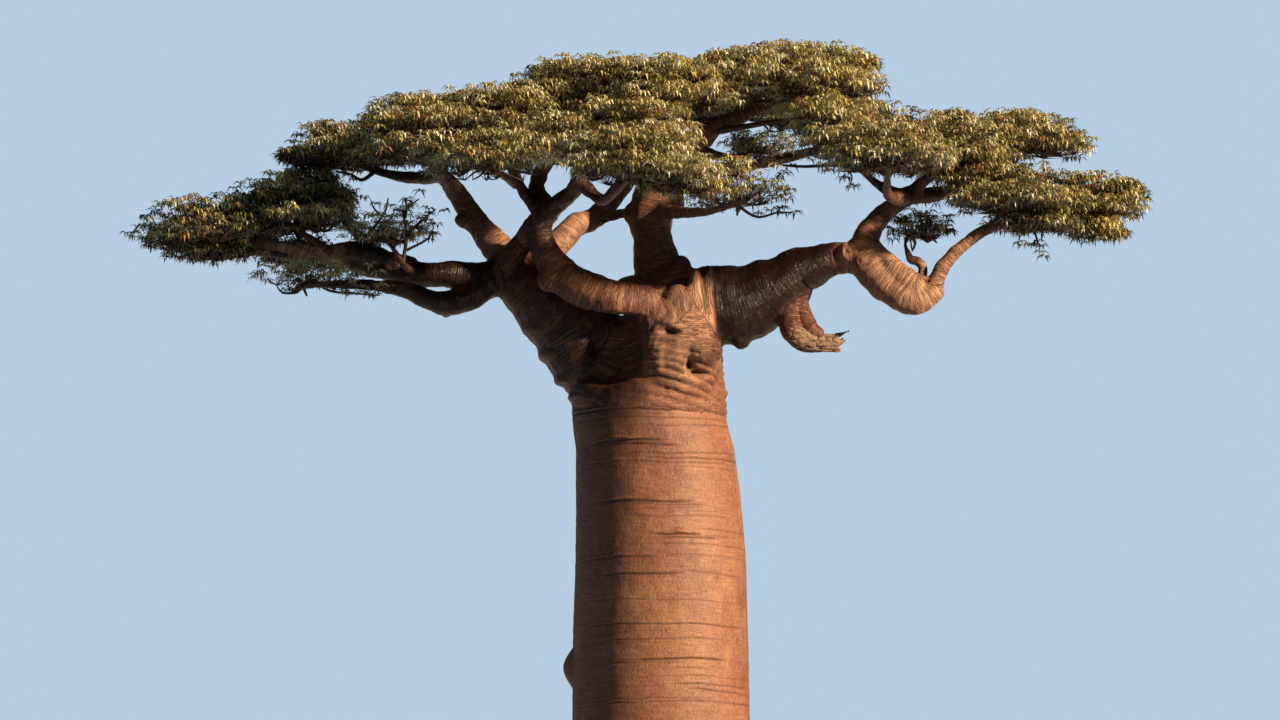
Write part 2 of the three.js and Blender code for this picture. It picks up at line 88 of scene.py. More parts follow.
# Each limb starts at a place, or at a share of its parent's points, and runs through points with
# a radius each. A blunt limb is rounded off at its end, and a dead one has lost its bark.
LIMBS = [
    dict(name="left_main_bough", start=(-580, 100, 19020), base=940, blunt=True,
         through=[(-1500, 0, 20050, 790), (-2480, 0, 21150, 600)]),
    dict(name="left_low_bough", parent="left_main_bough", at=0.88, base=400, feeds="left_tip",
         through=[(-3260, -100, 20950, 250), (-4450, -100, 21000, 200), (-5730, 0, 21250, 115)]),
    dict(name="left_knee_branch", parent="left_low_bough", at=0.5, base=140, feeds="left_knee",
         through=[(-5150, 500, 21670, 85)]),
    dict(name="left_mid_branch", parent="left_low_bough", at=0.72, base=140, feeds="left_mid",
         through=[(-5770, -250, 21420, 85)]),
    dict(name="left_sprig_branch", parent="left_low_bough", at=0.45, base=90, feeds="left_sprig",
         through=[(-4410, -500, 21110, 60)]),
    dict(name="left_under_bough", parent="left_low_bough", at=0.15, base=280, feeds="left_under",
         through=[(-3650, -400, 20450, 220), (-4440, -700, 20660, 135), (-5190, -1000, 20710, 90)]),
    dict(name="left_high_bough", parent="left_main_bough", at=0.88, base=340, feeds="left_shoulder",
         through=[(-3110, 200, 21830, 225), (-3570, 100, 22490, 165)]),
    dict(name="left_high_branch", parent="left_high_bough", at=0.8, base=150, feeds="left_high",
         through=[(-4470, 500, 22740, 90)]),
    dict(name="front_bough", start=(510, -500, 20300), base=400, feeds="front_left", split=0.43,
         through=[(-370, -1100, 20400, 340), (-1220, -1150, 20540, 340), (-1860, -850, 21060, 280),
                  (-2050, -950, 21500, 205), (-1920, -1200, 21920, 160), (-1410, -2150, 22360, 125)]),
    dict(name="front_cross_branch", parent="front_bough", at=0.84, base=140, feeds="front_mid",
         through=[(-990, -2600, 21970, 90)]),
    dict(name="front_pale_branch", parent="front_bough", at=0.68, base=150, feeds="left_crest",
         through=[(-2400, -1000, 22370, 105)]),
    dict(name="front_red_branch", parent="front_bough", at=0.72, base=170, feeds="top_left",
         through=[(-2120, -300, 22630, 130)]),
    dict(name="mid_back_bough", parent="left_main_bough", at=0.93, base=260, feeds="top_mid",
         through=[(-1570, 500, 21820, 215), (-890, 1100, 22340, 170)]),
    dict(name="dead_spur", parent="mid_back_bough", at=0.5, base=100, dead=True,
         through=[(-560, 900, 22180, 60)]),
    dict(name="leader", start=(170, 200, 20480), base=480, feeds="top_right",
         through=[(-150, 250, 21600, 335), (-120, 300, 22290, 390), (650, 400, 23430, 170)]),
    dict(name="leader_low_branch", parent="leader", at=0.45, base=150, feeds="front_right",
         through=[(640, -1200, 21920, 80)]),
    dict(name="leader_side_branch", parent="leader", at=0.7, base=110, feeds="mid_right",
         through=[(1160, 900, 23130, 65)]),
    dict(name="right_main_bough", start=(480, 0, 20370), base=760, blunt=True,
         through=[(1560, -300, 20530, 680), (2340, -550, 20970, 440), (2880, -700, 21180, 300),
                  (3450, -800, 21200, 280)]),
    dict(name="dead_stub", parent="right_main_bough", at=0.5, base=300, dead=True,
         through=[(2200, -600, 20110, 240), (2470, -600, 19770, 205), (3150, -500, 19750, 120)]),
    dict(name="right_rising_bough", parent="right_main_bough", at=0.95, base=300, feeds="right_mid",
         through=[(3590, -700, 21710, 220), (4080, -600, 22200, 150)]),
    dict(name="right_inner_branch", parent="right_rising_bough", at=0.7, base=120, feeds="right_inner",
         through=[(3640, -900, 22470, 70)]),
    dict(name="right_front_branch", parent="right_rising_bough", at=0.7, base=150, feeds="right_front",
         through=[(3830, -2000, 22130, 85)]),
    dict(name="right_crest_branch", parent="right_rising_bough", at=0.72, base=170, feeds="right_high",
         through=[(4810, -200, 22380, 130), (5460, 500, 22640, 90)]),
    dict(name="right_drop_bough", parent="right_main_bough", at=0.95, base=320, split=0.5, blunt=True,
         through=[(3790, -1000, 20750, 330), (4150, -1100, 20450, 300), (4440, -1100, 20450, 260),
                  (4720, -1000, 20680, 225)]),
    dict(name="right_low_branch", parent="right_drop_bough", at=0.85, base=170, feeds="right_low",
         through=[(4780, -1050, 21010, 125), (5320, -1000, 21530, 110), (5680, -1050, 21720, 90)]),
    dict(name="right_tip_branch", parent="right_low_branch", at=0.8, base=110, feeds="right_tip",
         through=[(6400, -600, 21790, 70)]),
    dict(name="pocket_branch", parent="right_drop_bough", at=0.72, base=90, feeds="right_pocket",
         through=[(4380, -400, 21160, 60)]),
    dict(name="back_main_bough", start=(30, 600, 20460), base=430, feeds="back_left",
         through=[(-170, 1900, 21680, 330), (-170, 3100, 22900, 230)]),
    dict(name="back_far_left_branch", parent="back_main_bough", at=0.72, base=200, feeds="back_far_left",
         through=[(-1250, 3200, 23350, 150), (-2460, 3100, 23450, 100)]),
    dict(name="back_right_branch", parent="back_main_bough", at=0.8, base=180, feeds="back_right",
         through=[(580, 4300, 23680, 110)]),
    dict(name="back_far_right_branch", parent="back_main_bough", at=0.7, base=200, feeds="back_far_right",
         through=[(1440, 3900, 23340, 110)]),
]
# name, middle, reach across and in depth, rise above the middle and drop below it
MASSES = [
    ("left_tip", (-7720, -300, 21550), (1490, 1500), 780, 490),
    ("left_mid", (-6320, -200, 21900), (1360, 1600), 850, 580),
    ("left_knee", (-5700, 800, 22330), (790, 1200), 480, 340),
    ("left_sprig", (-4680, -600, 21590), (850, 800), 640, 410),
    ("left_under", (-6010, -1200, 20770), (1350, 1000), 340, 470),
    ("left_high", (-5460, 600, 23100), (1130, 1800), 720, 310),
    ("left_shoulder", (-3910, -1400, 22900), (1520, 1800), 1080, 440),
    ("left_crest", (-2810, -700, 23380), (1290, 1500), 950, 470),
    ("top_left", (-1160, 900, 24060), (1570, 2100), 890, 620),
    ("top_mid", (140, -400, 23910), (1420, 2100), 810, 610),
    ("top_right", (2330, 300, 24280), (1740, 2200), 830, 610),
    ("front_left", (-2830, -3600, 22370), (1360, 1600), 670, 300),
    ("front_mid", (-560, -4800, 22130), (1490, 1600), 860, 430),
    ("front_right", (1300, -2900, 21980), (1100, 1300), 700, 530),
    ("mid_right", (1750, 1500, 23370), (720, 1000), 410, 340),
    ("right_inner", (3060, -1200, 23080), (950, 1400), 610, 420),
    ("right_mid", (4750, -900, 22810), (1250, 1800), 910, 470),
    ("right_front", (3800, -3500, 22520), (1270, 1400), 630, 370),
    ("right_high", (6160, 1200, 23320), (1510, 1600), 720, 290),
    ("right_low", (5870, -1300, 22070), (1350, 1400), 730, 340),
    ("right_tip", (7130, -200, 22070), (1320, 1400), 650, 660),
    ("right_pocket", (4520, 600, 21820), (720, 800), 510, 410),
    ("back_far_left", (-4010, 3000, 23780), (1520, 1900), 730, 380),
    ("back_left", (-1700, 4800, 24360), (1540, 1700), 730, 380),
    ("back_right", (1280, 5000, 24550), (1540, 1700), 700, 380),
    ("back_far_right", (3470, 3600, 23850), (1490, 1800), 560, 350),
]
ring_heights, ring_radii, ring_drifts = (np.array(column) * MM for column in zip(*TRUNK_RINGS))
print("limbs:", len(LIMBS), "masses:", len(MASSES))

# %% [markdown]
# ## Paths that bend smoothly
# A limb runs through its points on a Catmull-Rom curve, the same kind as in the source. A limb that
# feeds a mass runs on to the mass's hub, a little below its middle, and thins on the way.

# %% Bend the limbs' paths
HUB_DROP = 0.2


def path_at(points, shares):
    """Points of the smooth curve through the given points, at shares of its length of points."""
    points = np.asarray(points, float)
    padded = np.vstack([2 * points[0] - points[1], points, 2 * points[-1] - points[-2]])
    place = np.clip(np.asarray(shares, float), 0, 1) * (len(points) - 1)
    step = np.minimum(place.astype(int), len(points) - 2)
    t = (place - step)[:, None]
    before, start, end, after = (padded[step + i] for i in range(4))
    leave, arrive = 0.5 * (end - before), 0.5 * (after - start)
    bend = -3 * start + 3 * end - 2 * leave - arrive
    twist = 2 * start - 2 * end + leave + arrive
    return start + leave * t + bend * t**2 + twist * t**3


def hub_of(mass):
    """Where the stem ends inside a mass, in metres."""
    x, y, z = mass["centre"]
    return np.array([x, y, z - HUB_DROP * mass["down"]]) * MM


def leaf_mass(name, centre, reach, up, down):
    """A mass of leaves, with its sizes by name."""
    return dict(name=name, centre=centre, reach=reach, up=up, down=down)


PATH_STEPS = 60
BLUNT_FROM = 0.9
BLUNT_OVER = 0.1001
masses = {row[0]: leaf_mass(*row) for row in MASSES}
plans = {}
for limb in LIMBS:
    first = limb.get("start")
    if first is None:
        first = path_at(plans[limb["parent"]]["points"], [limb["at"]])[0] / MM
    points = [np.array(first) * MM] + [np.array(stop[:3]) * MM for stop in limb["through"]]
    radii = [limb["base"] * MM] + [stop[3] * MM for stop in limb["through"]]
    if "feeds" in limb:
        points.append(hub_of(masses[limb["feeds"]]))
        radii.append(STEM_SHARE * radii[-1])
    shares = np.linspace(0, 1, PATH_STEPS + 1)
    path = path_at(points, shares)
    radius = np.interp(shares, np.linspace(0, 1, len(radii)), radii)
    if limb.get("blunt"):
        radius = radius * np.sqrt(1 - np.clip((shares - BLUNT_FROM) / BLUNT_OVER, 0, 1) ** 2)
    along = np.concatenate([[0], np.cumsum(np.linalg.norm(np.diff(path, axis=0), axis=1))])
    plans[limb["name"]] = dict(limb, points=points, path=path, radius=radius, along=along)
print("longest limb:", round(max(plan["along"][-1] for plan in plans.values()), 2), "m")

# %% [markdown]
# ## Small tools for meshes
# Sculpting works on all points of a mesh at once, as arrays of numbers. Roughness comes from Blender's
# own noise, and a crease shade value at each point later tells the bark where shade is painted in creases
# and hollows.

# %% Helpers for points and noise
ROUGH_FADE = 1.0
ROUGH_STEP = 2.0


def points_of(mesh):
    """All vertices of a mesh as an array."""
    flat = np.empty(3 * len(mesh.vertices))
    mesh.vertices.foreach_get("co", flat)
    return flat.reshape(-1, 3)


def normals_of(mesh):
    """Which way each vertex faces."""
    flat = np.empty(3 * len(mesh.vertices))
    mesh.vertex_normals.foreach_get("vector", flat)
    return flat.reshape(-1, 3)


def move_points(mesh, points):
    """Puts every vertex at its new place."""
    mesh.vertices.foreach_set("co", np.asarray(points).ravel())
    mesh.update()


def rough(points, scale, octaves=1):
    """Noise between about -1 and 1 at each point, with bumps about the given size."""
    return np.array([noise.fractal(Vector(point), ROUGH_FADE, ROUGH_STEP, octaves)
                     for point in points / scale])


def smooth_step(low, high, values):
    """0 at low, 1 at high, and smooth from one to the other."""
    t = np.clip((values - low) / (high - low), 0, 1)
    return t * t * (3 - 2 * t)


print("noise at the middle of the foot:", rough(np.zeros((1, 3)), 1.0))

# %% Helpers for meshes and finished pieces
def note(mesh, name, values):
    """Keeps a number at each vertex, or one number for all, which a material can read."""
    spread = np.full(len(mesh.vertices), values, np.float32)
    mesh.attributes.new(name, "FLOAT", "POINT").data.foreach_set("value", spread)


def tell_bark(mesh, along, crease_shade, joint, lined, painted_shade):
    """Notes all that the bark reads, and lets the light run smoothly over the faces."""
    told = dict(along=along, crease_shade=crease_shade, joint=joint, lined=lined, painted_shade=painted_shade)
    for name, values in told.items():
        note(mesh, name, values)
    mesh.shade_smooth()


def placed(name, data):
    """An object at the origin that shows a mesh, a curve, a lamp or a camera."""
    thing = bpy.data.objects.new(name, data)
    bpy.context.collection.objects.link(thing)
    return thing


def settled(holder):
    """The mesh that an object shows once its bevel and modifiers are worked out. The object goes."""
    shown = holder.evaluated_get(bpy.context.evaluated_depsgraph_get())
    mesh = bpy.data.meshes.new_from_object(shown)
    bpy.data.objects.remove(holder)
    return mesh


def mesh_of(shape, name):
    """Makes a mesh of a bmesh, which is then let go."""
    mesh = bpy.data.meshes.new(name)
    shape.to_mesh(mesh)
    shape.free()
    return mesh


def piece(name, mesh, material, nodes):
    """A finished piece: an object that rides on the tree and stands for the given nodes."""
    thing = placed(name, mesh)
    for each in material if isinstance(material, list) else [material]:
        thing.data.materials.append(each)
    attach(thing, "root")
    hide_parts(*nodes)
    mesh.calc_loop_triangles()
    print(name, len(mesh.loop_triangles), "triangles")


# %% [markdown]
# ## Colours worked out as sums
# A material is a web of small nodes. Written as sums in Python it reads like a recipe: `noise * 0.3`
# adds a Math node by itself. One class wraps a socket and gives it the signs, and one method makes any
# other node.

# %% A small language for materials
class Wire:
    """A socket of a material that can be added, multiplied and mixed."""

    def __init__(self, finish, socket):
        self.finish = finish
        self.socket = socket

    def math(self, operation, *others):
        values = dict(enumerate((self, *others)))
        return self.finish.node("ShaderNodeMath", {"operation": operation}, values)

    def __add__(self, other):
        return self.math("ADD", other)

    def __mul__(self, other):
        return self.math("MULTIPLY", other)

    def __sub__(self, other):
        return self.math("SUBTRACT", other)

    def __rsub__(self, other):
        return (self * -1) + other

    __radd__ = __add__
    __rmul__ = __mul__

    def clamp(self):
        return self.math("MINIMUM", 1.0).math("MAXIMUM", 0.0)

    def between(self, low, high):
        """0 below low, 1 above high, and smooth from one to the other."""
        settings = {"interpolation_type": "SMOOTHSTEP"}
        values = {"Value": self, "From Min": low, "From Max": high}
        return self.finish.node("ShaderNodeMapRange", settings, values)


class Finish:
    """A material with a Principled shader and one method that makes any node."""

    def __init__(self, name, roughness=0.5):
        self.material = bpy.data.materials.new(name)
        self.material.use_nodes = True
        self.tree = self.material.node_tree
        self.shader = self.tree.nodes["Principled BSDF"]
        self.shader.inputs["Roughness"].default_value = roughness

    def node(self, kind, settings=None, values=None, output=0):
        made = self.tree.nodes.new(kind)
        for name, setting in (settings or {}).items():
            setattr(made, name, setting)
        for key, value in (values or {}).items():
            self.feed(made.inputs[key], value)
        return Wire(self, made.outputs[output])

    def feed(self, socket, value):
        if isinstance(value, Wire):
            self.tree.links.new(value.socket, socket)
        else:
            socket.default_value = value

    def place(self):
        """Where a point lies, in metres."""
        return self.node("ShaderNodeTexCoord", output="Object")

    def noted(self, name):
        """The number that the mesh keeps under a name."""
        return self.node("ShaderNodeAttribute", {"attribute_name": name}, output="Fac")

    def stretched(self, place, stretch):
        return self.node("ShaderNodeVectorMath", {"operation": "MULTIPLY"}, {0: place, 1: stretch})

    def noise(self, place, scale, detail=3.0, roughness=0.55):
        values = {"Vector": place, "Scale": scale, "Detail": detail, "Roughness": roughness}
        return self.node("ShaderNodeTexNoise", values=values)

    def blend(self, share, first, second):
        settings = {"data_type": "RGBA"}
        return self.node("ShaderNodeMix", settings, {"Factor": share, 6: first, 7: second}, output=2)

    def colour(self, value):
        self.feed(self.shader.inputs["Base Color"], value)

    def roughness(self, value):
        self.feed(self.shader.inputs["Roughness"], value)

    def bump(self, height, distance):
        values = {"Height": height, "Distance": distance}
        self.feed(self.shader.inputs["Normal"], self.node("ShaderNodeBump", values=values))


def plain(name, colour, roughness):
    """A material of one even colour."""
    finish = Finish(name, roughness)
    finish.colour(colour)
    return finish.material


# %% [markdown]
# ## Bark
# Baobab bark is a thin satin skin the colour of bronze, with maroon and grey-pink patches, fine specks
# and many hairline wrinkles that run round the trunk and round each bough. The wrinkles follow the
# limb, so they are drawn from a length noted at every point of the mesh, not from the height.

# %% Make the bark
BRONZE = (0.375, 0.155, 0.075, 1)
GOLD_BROWN = (0.54, 0.265, 0.11, 1)
MAROON = (0.13, 0.042, 0.03, 1)
PINK_GREY = (0.46, 0.28, 0.195, 1)
# Painted shade for ring grooves, creases, hollows, splits and hairline wrinkles
CREASE_SHADE_BROWN = (0.02, 0.009, 0.007, 1)
# Painted shade for the boughs under the crown
SHADE_BROWN = (0.018, 0.0066, 0.0045, 1)
# A painted glint for the boughs with painted shade
GLINT = (0.13, 0.058, 0.042, 1)
# Painted sunlight for limbs that stand in shade
PAINTED_SUNLIGHT = (0.74, 0.42, 0.24, 1)
BARK_SHINE = 0.34
# How many of each fit in a metre, more or less
PATCHES, GOLDS, GREYS, SPECKS, SWAYS = 0.6, 1.7, 4.3, 30.0, 1.6
WRINKLES = 26
WRINKLE_SWAY = 3.2
WRINKLE_DRIFT = (2.4, 2.4, 2.4)
HAIRLINE = 0.04
BARK_RELIEF = 0.028


def make_bark():
    """The skin of the trunk and the boughs, from broad patches down to specks and hairlines."""
    bark = Finish("bronze_bark")
    bark.shader.inputs["Specular IOR Level"].default_value = BARK_SHINE
    place = bark.place()
    told = ("along", "crease_shade", "joint", "lined", "painted_shade")
    along, crease_shade, joint, lined, painted_shade = (bark.noted(name) for name in told)

    # Patches, from the broadest to the finest, are masks between 0 and 1
    patches = bark.noise(place, PATCHES, 5.0, 0.62).between(0.38, 0.66)
    golds = bark.noise(bark.stretched(place, (1.0, 1.0, 0.6)), GOLDS, 5.0, 0.68).between(0.48, 0.7)
    greys = bark.noise(bark.stretched(place, (1.3, 1.3, 0.7)), GREYS, 4.0, 0.7).between(0.5, 0.72)
    specks = bark.noise(bark.stretched(place, (1.0, 1.0, 0.5)), SPECKS, 3.0, 0.75)

    # Wrinkles are layers of noise stacked along the limb, swayed so that they don't close in rings
    sway = bark.noise(place, SWAYS, 2.0) * WRINKLE_SWAY
    round_limb = bark.node("ShaderNodeCombineXYZ", values={2: along * WRINKLES + sway})
    lines_place = bark.node("ShaderNodeVectorMath", {"operation": "MULTIPLY_ADD"},
                            {0: place, 1: WRINKLE_DRIFT, 2: round_limb})
    lines = bark.noise(lines_place, 1.0, 3.0, 0.66)
    ribs = lines.between(0.4, 0.6)
    hairlines = (1 - (lines - 0.5).math("ABSOLUTE").between(0.0, HAIRLINE)) * (1 - joint * 0.5) * lined

    # Each colour is laid over the ones before it: patches, painted shade between the wrinkles' ribs,
    # specks, painted sunlight and shade, painted glints, and last the painted shade in hairlines and
    # creases
    colour = bark.blend(patches * (0.5 + lined * 0.35), BRONZE, MAROON)
    # Golden patches, fewer where shade is painted
    colour = bark.blend(golds * (0.6 - painted_shade * 0.5), colour, GOLD_BROWN)
    # Painted shade in the hollows between the wrinkles' ribs
    colour = bark.blend((1 - ribs) * lined * 0.78, colour, MAROON)
    # Grey-pink patches, stronger on the ribs' tops as a painted highlight
    colour = bark.blend(greys * (0.25 + ribs * lined * 0.4), colour, PINK_GREY)
    colour = bark.blend((specks - 0.52).clamp() * 2.8, colour, PINK_GREY)
    colour = bark.blend((0.47 - specks).clamp() * 4.0, colour, MAROON)
    # Painted sunlight, then painted shade, on the limbs and spots that the mesh notes
    colour = bark.blend((painted_shade * -0.9).clamp(), colour, PAINTED_SUNLIGHT)
    colour = bark.blend(painted_shade.clamp(), colour, SHADE_BROWN)
    # Painted glints on the boughs with painted shade
    colour = bark.blend(((lines - 0.62) * painted_shade * 2.6).clamp(), colour, GLINT)
    # Painted shade in the hairline wrinkles
    colour = bark.blend(hairlines * 0.7, colour, CREASE_SHADE_BROWN)
    # Painted shade in the creases and hollows that the mesh notes
    colour = bark.blend((crease_shade * 0.95).clamp(), colour, CREASE_SHADE_BROWN)
    bark.colour(colour)
    bark.roughness(0.38 + specks * 0.16 + greys * 0.08 + crease_shade * 0.25 - painted_shade.clamp() * 0.16)
    bark.bump(specks * 0.36 + (lines * 1.1 - hairlines * 0.35) * lined, BARK_RELIEF)
    return bark.material


bronze_bark = make_bark()
print("bark nodes:", len(bronze_bark.node_tree.nodes))

# %% [markdown]
# ## The column
# The trunk below the head is almost a turned shape, so it is spun from a profile. What makes it a
# baobab are the rings: shallow grooves, most of them part of the way round, each with a soft lip over
# it. A pattern in the bark would leave its outline smooth, so they are pressed in point by point,
# with the low lobes of the foot and a few knobs.

# %% Spin the column
COLUMN_SIDES = 176
COLUMN_TOP = 19.15
FINE_FROM = 12.9
COARSE_LEVELS, FINE_LEVELS = 140, 405
# The profile is evened out over a number of levels, in its fine part
EVENED_OVER = 15
EVENED = slice(150, -10)


def spin_round(shape, rim, sides, merge_under):
    """Turns a line of points once round the upright axis and closes the seam."""
    line = [shape.edges.new(pair) for pair in zip(rim, rim[1:])]
    bmesh.ops.spin(shape, geom=rim + line, cent=(0, 0, 0), axis=(0, 0, 1), dvec=(0, 0, 0),
                   angle=2 * math.pi, steps=sides, use_merge=True)
    bmesh.ops.remove_doubles(shape, verts=shape.verts, dist=merge_under)


coarse = np.linspace(0, FINE_FROM, COARSE_LEVELS)[:-1]
profile_heights = np.concatenate([coarse, np.linspace(FINE_FROM, COLUMN_TOP, FINE_LEVELS)])
profile_radii = np.interp(profile_heights, ring_heights, ring_radii)
evened = np.convolve(profile_radii, np.ones(EVENED_OVER) / EVENED_OVER, "same")
profile_radii[EVENED] = evened[EVENED]
shape = bmesh.new()
rim = [shape.verts.new((radius, 0, height)) for radius, height in zip(profile_radii, profile_heights)]
spin_round(shape, rim, COLUMN_SIDES, 1e-5)
bmesh.ops.holes_fill(shape, edges=[edge for edge in shape.edges if edge.is_boundary], sides=0)
bmesh.ops.recalc_face_normals(shape, faces=shape.faces)
column_mesh = mesh_of(shape, "trunk_column")
print("column points:", len(column_mesh.vertices))

# %% List the rings
ring_dice = np.random.default_rng(SEED)
# height, middle of the arc in degrees (-90 faces the camera), half of its spread, depth in metres
NAMED_RINGS = [
    (18.56, -60, 170, 0.012), (18.42, -75, 100, 0.006), (18.3, -50, 60, 0.005), (18.02, -112, 34, 0.018),
    (17.96, -100, 30, 0.012), (17.82, -60, 60, 0.007), (17.72, -45, 60, 0.009), (17.66, -100, 80, 0.006),
    (16.98, -103, 40, 0.016), (16.93, -95, 50, 0.006), (16.42, -78, 20, 0.016), (16.36, -68, 24, 0.01),
    (16.5, -35, 40, 0.006), (16.02, -130, 44, 0.01), (15.74, -105, 34, 0.012), (15.3, -95, 70, 0.004),
    (14.88, -85, 80, 0.009), (14.62, -95, 60, 0.006), (14.28, -75, 38, 0.013), (14.22, -110, 40, 0.007),
    (13.85, -50, 40, 0.007), (13.75, -45, 30, 0.008), (13.55, -85, 120, 0.006),
]
LOOSE_RINGS = 260


def ring_list():
    """The rings seen on the tree, and fainter ones scattered up the whole column."""
    rings = list(NAMED_RINGS)
    for _ in range(LOOSE_RINGS):
        height = ring_dice.uniform(0.5, 18.5)
        spread = ring_dice.uniform(6, 60)
        middle = ring_dice.uniform(-180, 180)
        rings.append((height, middle, spread, ring_dice.uniform(0.0012, 0.0055)))
    return rings


rings = ring_list()
print("rings:", len(rings))

# %% Press the rings in
# How near a ring is felt, the width of a faint groove, and where its lip stands, in widths
RING_NEAR = 0.25
GROOVE_WIDTH = 0.0095
LIP_OVER, LIP_WIDTH, LIP_SHARE = 2.1, 1.6, 0.55
# How high the column's own lumps stand, and how far a ring wavers and tilts
COLUMN_LUMPS, COLUMN_WARTS = 0.018, 0.006
RING_WAVER, RING_TILT = 0.03, 0.04
flat = points_of(column_mesh)
heights = flat[:, 2]
around = np.arctan2(flat[:, 1], flat[:, 0])
reach = np.hypot(flat[:, 0], flat[:, 1])
bumps = COLUMN_LUMPS * rough(flat * (1, 1, 0.45), 1.1, 2)
bumps = bumps + COLUMN_WARTS * rough(flat * (1, 1, 1.5), 0.25, 2)
crease_shade = np.zeros(len(flat))
waver = RING_WAVER * rough(flat * (1, 1, 0.2), 0.9, 2)
for height, middle, spread, depth in rings:
    near = np.abs(heights - height) < RING_NEAR
    turn = (np.degrees(around[near]) - middle + 180) % 360 - 180
    fade = 1 - smooth_step(0.6, 1.0, np.abs(turn) / spread)
    tilt = ring_dice.uniform(-RING_TILT, RING_TILT)
    off = heights[near] - height - waver[near] - tilt * np.sin(np.radians(turn))
    width = GROOVE_WIDTH + 0.5 * depth
    groove = np.exp(-((off / width) ** 2)) * fade
    lip = np.exp(-(((off - LIP_OVER * width) / (LIP_WIDTH * width)) ** 2)) * fade
    bumps[near] += depth * (LIP_SHARE * lip - groove)
    # The bottom of each groove is noted for painted shade
    crease_shade[near] = np.maximum(crease_shade[near], groove * min(0.9, 0.12 + depth / 0.017))
print("deepest groove:", round(float(-bumps.min()) * 100, 1), "cm")

# %% Shape the foot, draw in the top and push out the knobs
DRAWN_IN = 0.16
DRAWN_FROM, DRAWN_TO = 18.68, 18.95
flare = np.clip(1 - heights / FLARE_HEIGHT, 0, 1) ** 2
lobes = 1 + FLARE_DEPTH * flare * np.cos(FLARE_LOBES * around + np.sin(2 * around))
on_axis = reach < 1e-4
reach = np.where(on_axis, 0, (reach + bumps) * lobes)
# The top goes in under the skin of the head
reach *= 1 - DRAWN_IN * smooth_step(DRAWN_FROM, DRAWN_TO, heights)
drift = np.interp(heights, ring_heights, ring_drifts)
column = np.stack([reach * np.cos(around) + drift, reach * np.sin(around), heights], axis=1)
# place, reach along x, y and z, and how far it is pushed out
KNOBS = [
    ((-1.52, 0.0, 14.24), (0.3, 0.3, 0.36), 0.16), ((-0.5, -1.33, 18.06), (0.22, 0.3, 0.07), 0.035),
    ((0.3, -1.42, 16.47), (0.16, 0.3, 0.06), 0.04), ((-0.75, -1.3, 18.05), (0.3, 0.3, 0.07), 0.03),
]
for place, size, push in KNOBS:
    share = np.linalg.norm((column - place) / size, axis=1)
    out = np.clip(1 - share**2, 0, 1) ** 1.3 * push
    column[:, 0] += out * np.cos(around)
    column[:, 1] += out * np.sin(around)
# The cut at the ground is flat
column[heights < 0.001, 2] = 0
move_points(column_mesh, column)
print("the foot reaches", round(float(reach.max()), 2), "m from the middle")

# %% Tell the bark about the column
COLUMN_LINED = 0.3
# Shade is painted on the left side, slowly more up the column and then fast below the head
left_share = smooth_step(0.2, -0.9, column[:, 0])
painted_shade = 0.35 * smooth_step(15.2, 18.6, heights) + 0.5 * smooth_step(18.1, 18.6, heights)
tell_bark(column_mesh, heights, crease_shade, 0, COLUMN_LINED, painted_shade * left_share)
piece("trunk_column", column_mesh, bronze_bark, ["trunk"])

# %% [markdown]
# ## Boughs that grow out of the head
# On a baobab no bough is stuck on: each swells out of the head. Every limb is first a curve with its
# own thickness, which Blender fills out as a pipe. The pipes, the turned head and some swellings are
# then wrapped in one skin by a voxel remesh, as if they were pushed into clay. Joining them with a
# Boolean would leave a sharp seam at every fork. The outer boughs get a skin of their own, which
# starts inside the ends of the first, so that neither mesh grows too heavy.

# %% Pipe the limbs
THINNEST_IN_SKIN = 0.075
# The step at which a limb stops being part of a skin, where that isn't for its thinness
BROKEN_AT = {"dead_stub": 30, "dead_spur": 22, "pocket_branch": 14, "front_bough": 51}
# How stout a limb is against the plan
SLIMMER = {"right_drop_bough": 0.86, "right_rising_bough": 0.93, "left_main_bough": 0.93,
           "right_main_bough": 0.96, "dead_stub": 0.93}
SUNK_STEPS = 12
THINNEST_PIPE = 0.03
OUTER_LEFT, OUTER_RIGHT, OUTER_BACK = -3.05, 2.4, 1.9
OVERLAP_STEPS = 2


def pipe_mesh(name, runs, sides):
    """Pipes along several runs of points, each with its radii, as one mesh."""
    curve = bpy.data.curves.new(name, "CURVE")
    curve.dimensions = "3D"
    curve.bevel_depth = 1.0
    curve.bevel_resolution = sides // 2 - 2
    curve.use_fill_caps = True
    for path, radius in runs:
        spline = curve.splines.new("POLY")
        spline.points.add(len(path) - 1)
        spline.points.foreach_set("co", np.column_stack([path, np.ones(len(path))]).ravel())
        spline.points.foreach_set("radius", np.asarray(radius, float))
    return settled(placed(name, curve))


def waved(path, radius, size=0.5, share=0.16):
    """A path that wanders a little, by a share of its radius."""
    shift = np.column_stack([rough(path + 7 * axis, size) for axis in range(1, 4)])
    return path + shift * (share * np.minimum(radius, 0.3))[:, None]


def is_outer(points):
    """Which points belong to the outer skin."""
    x, y = points[:, 0], points[:, 1]
    return (x < OUTER_LEFT) | (x > OUTER_RIGHT) | (y > OUTER_BACK)


print("the outer skin starts at", OUTER_LEFT, OUTER_RIGHT, "and behind", OUTER_BACK, "m")

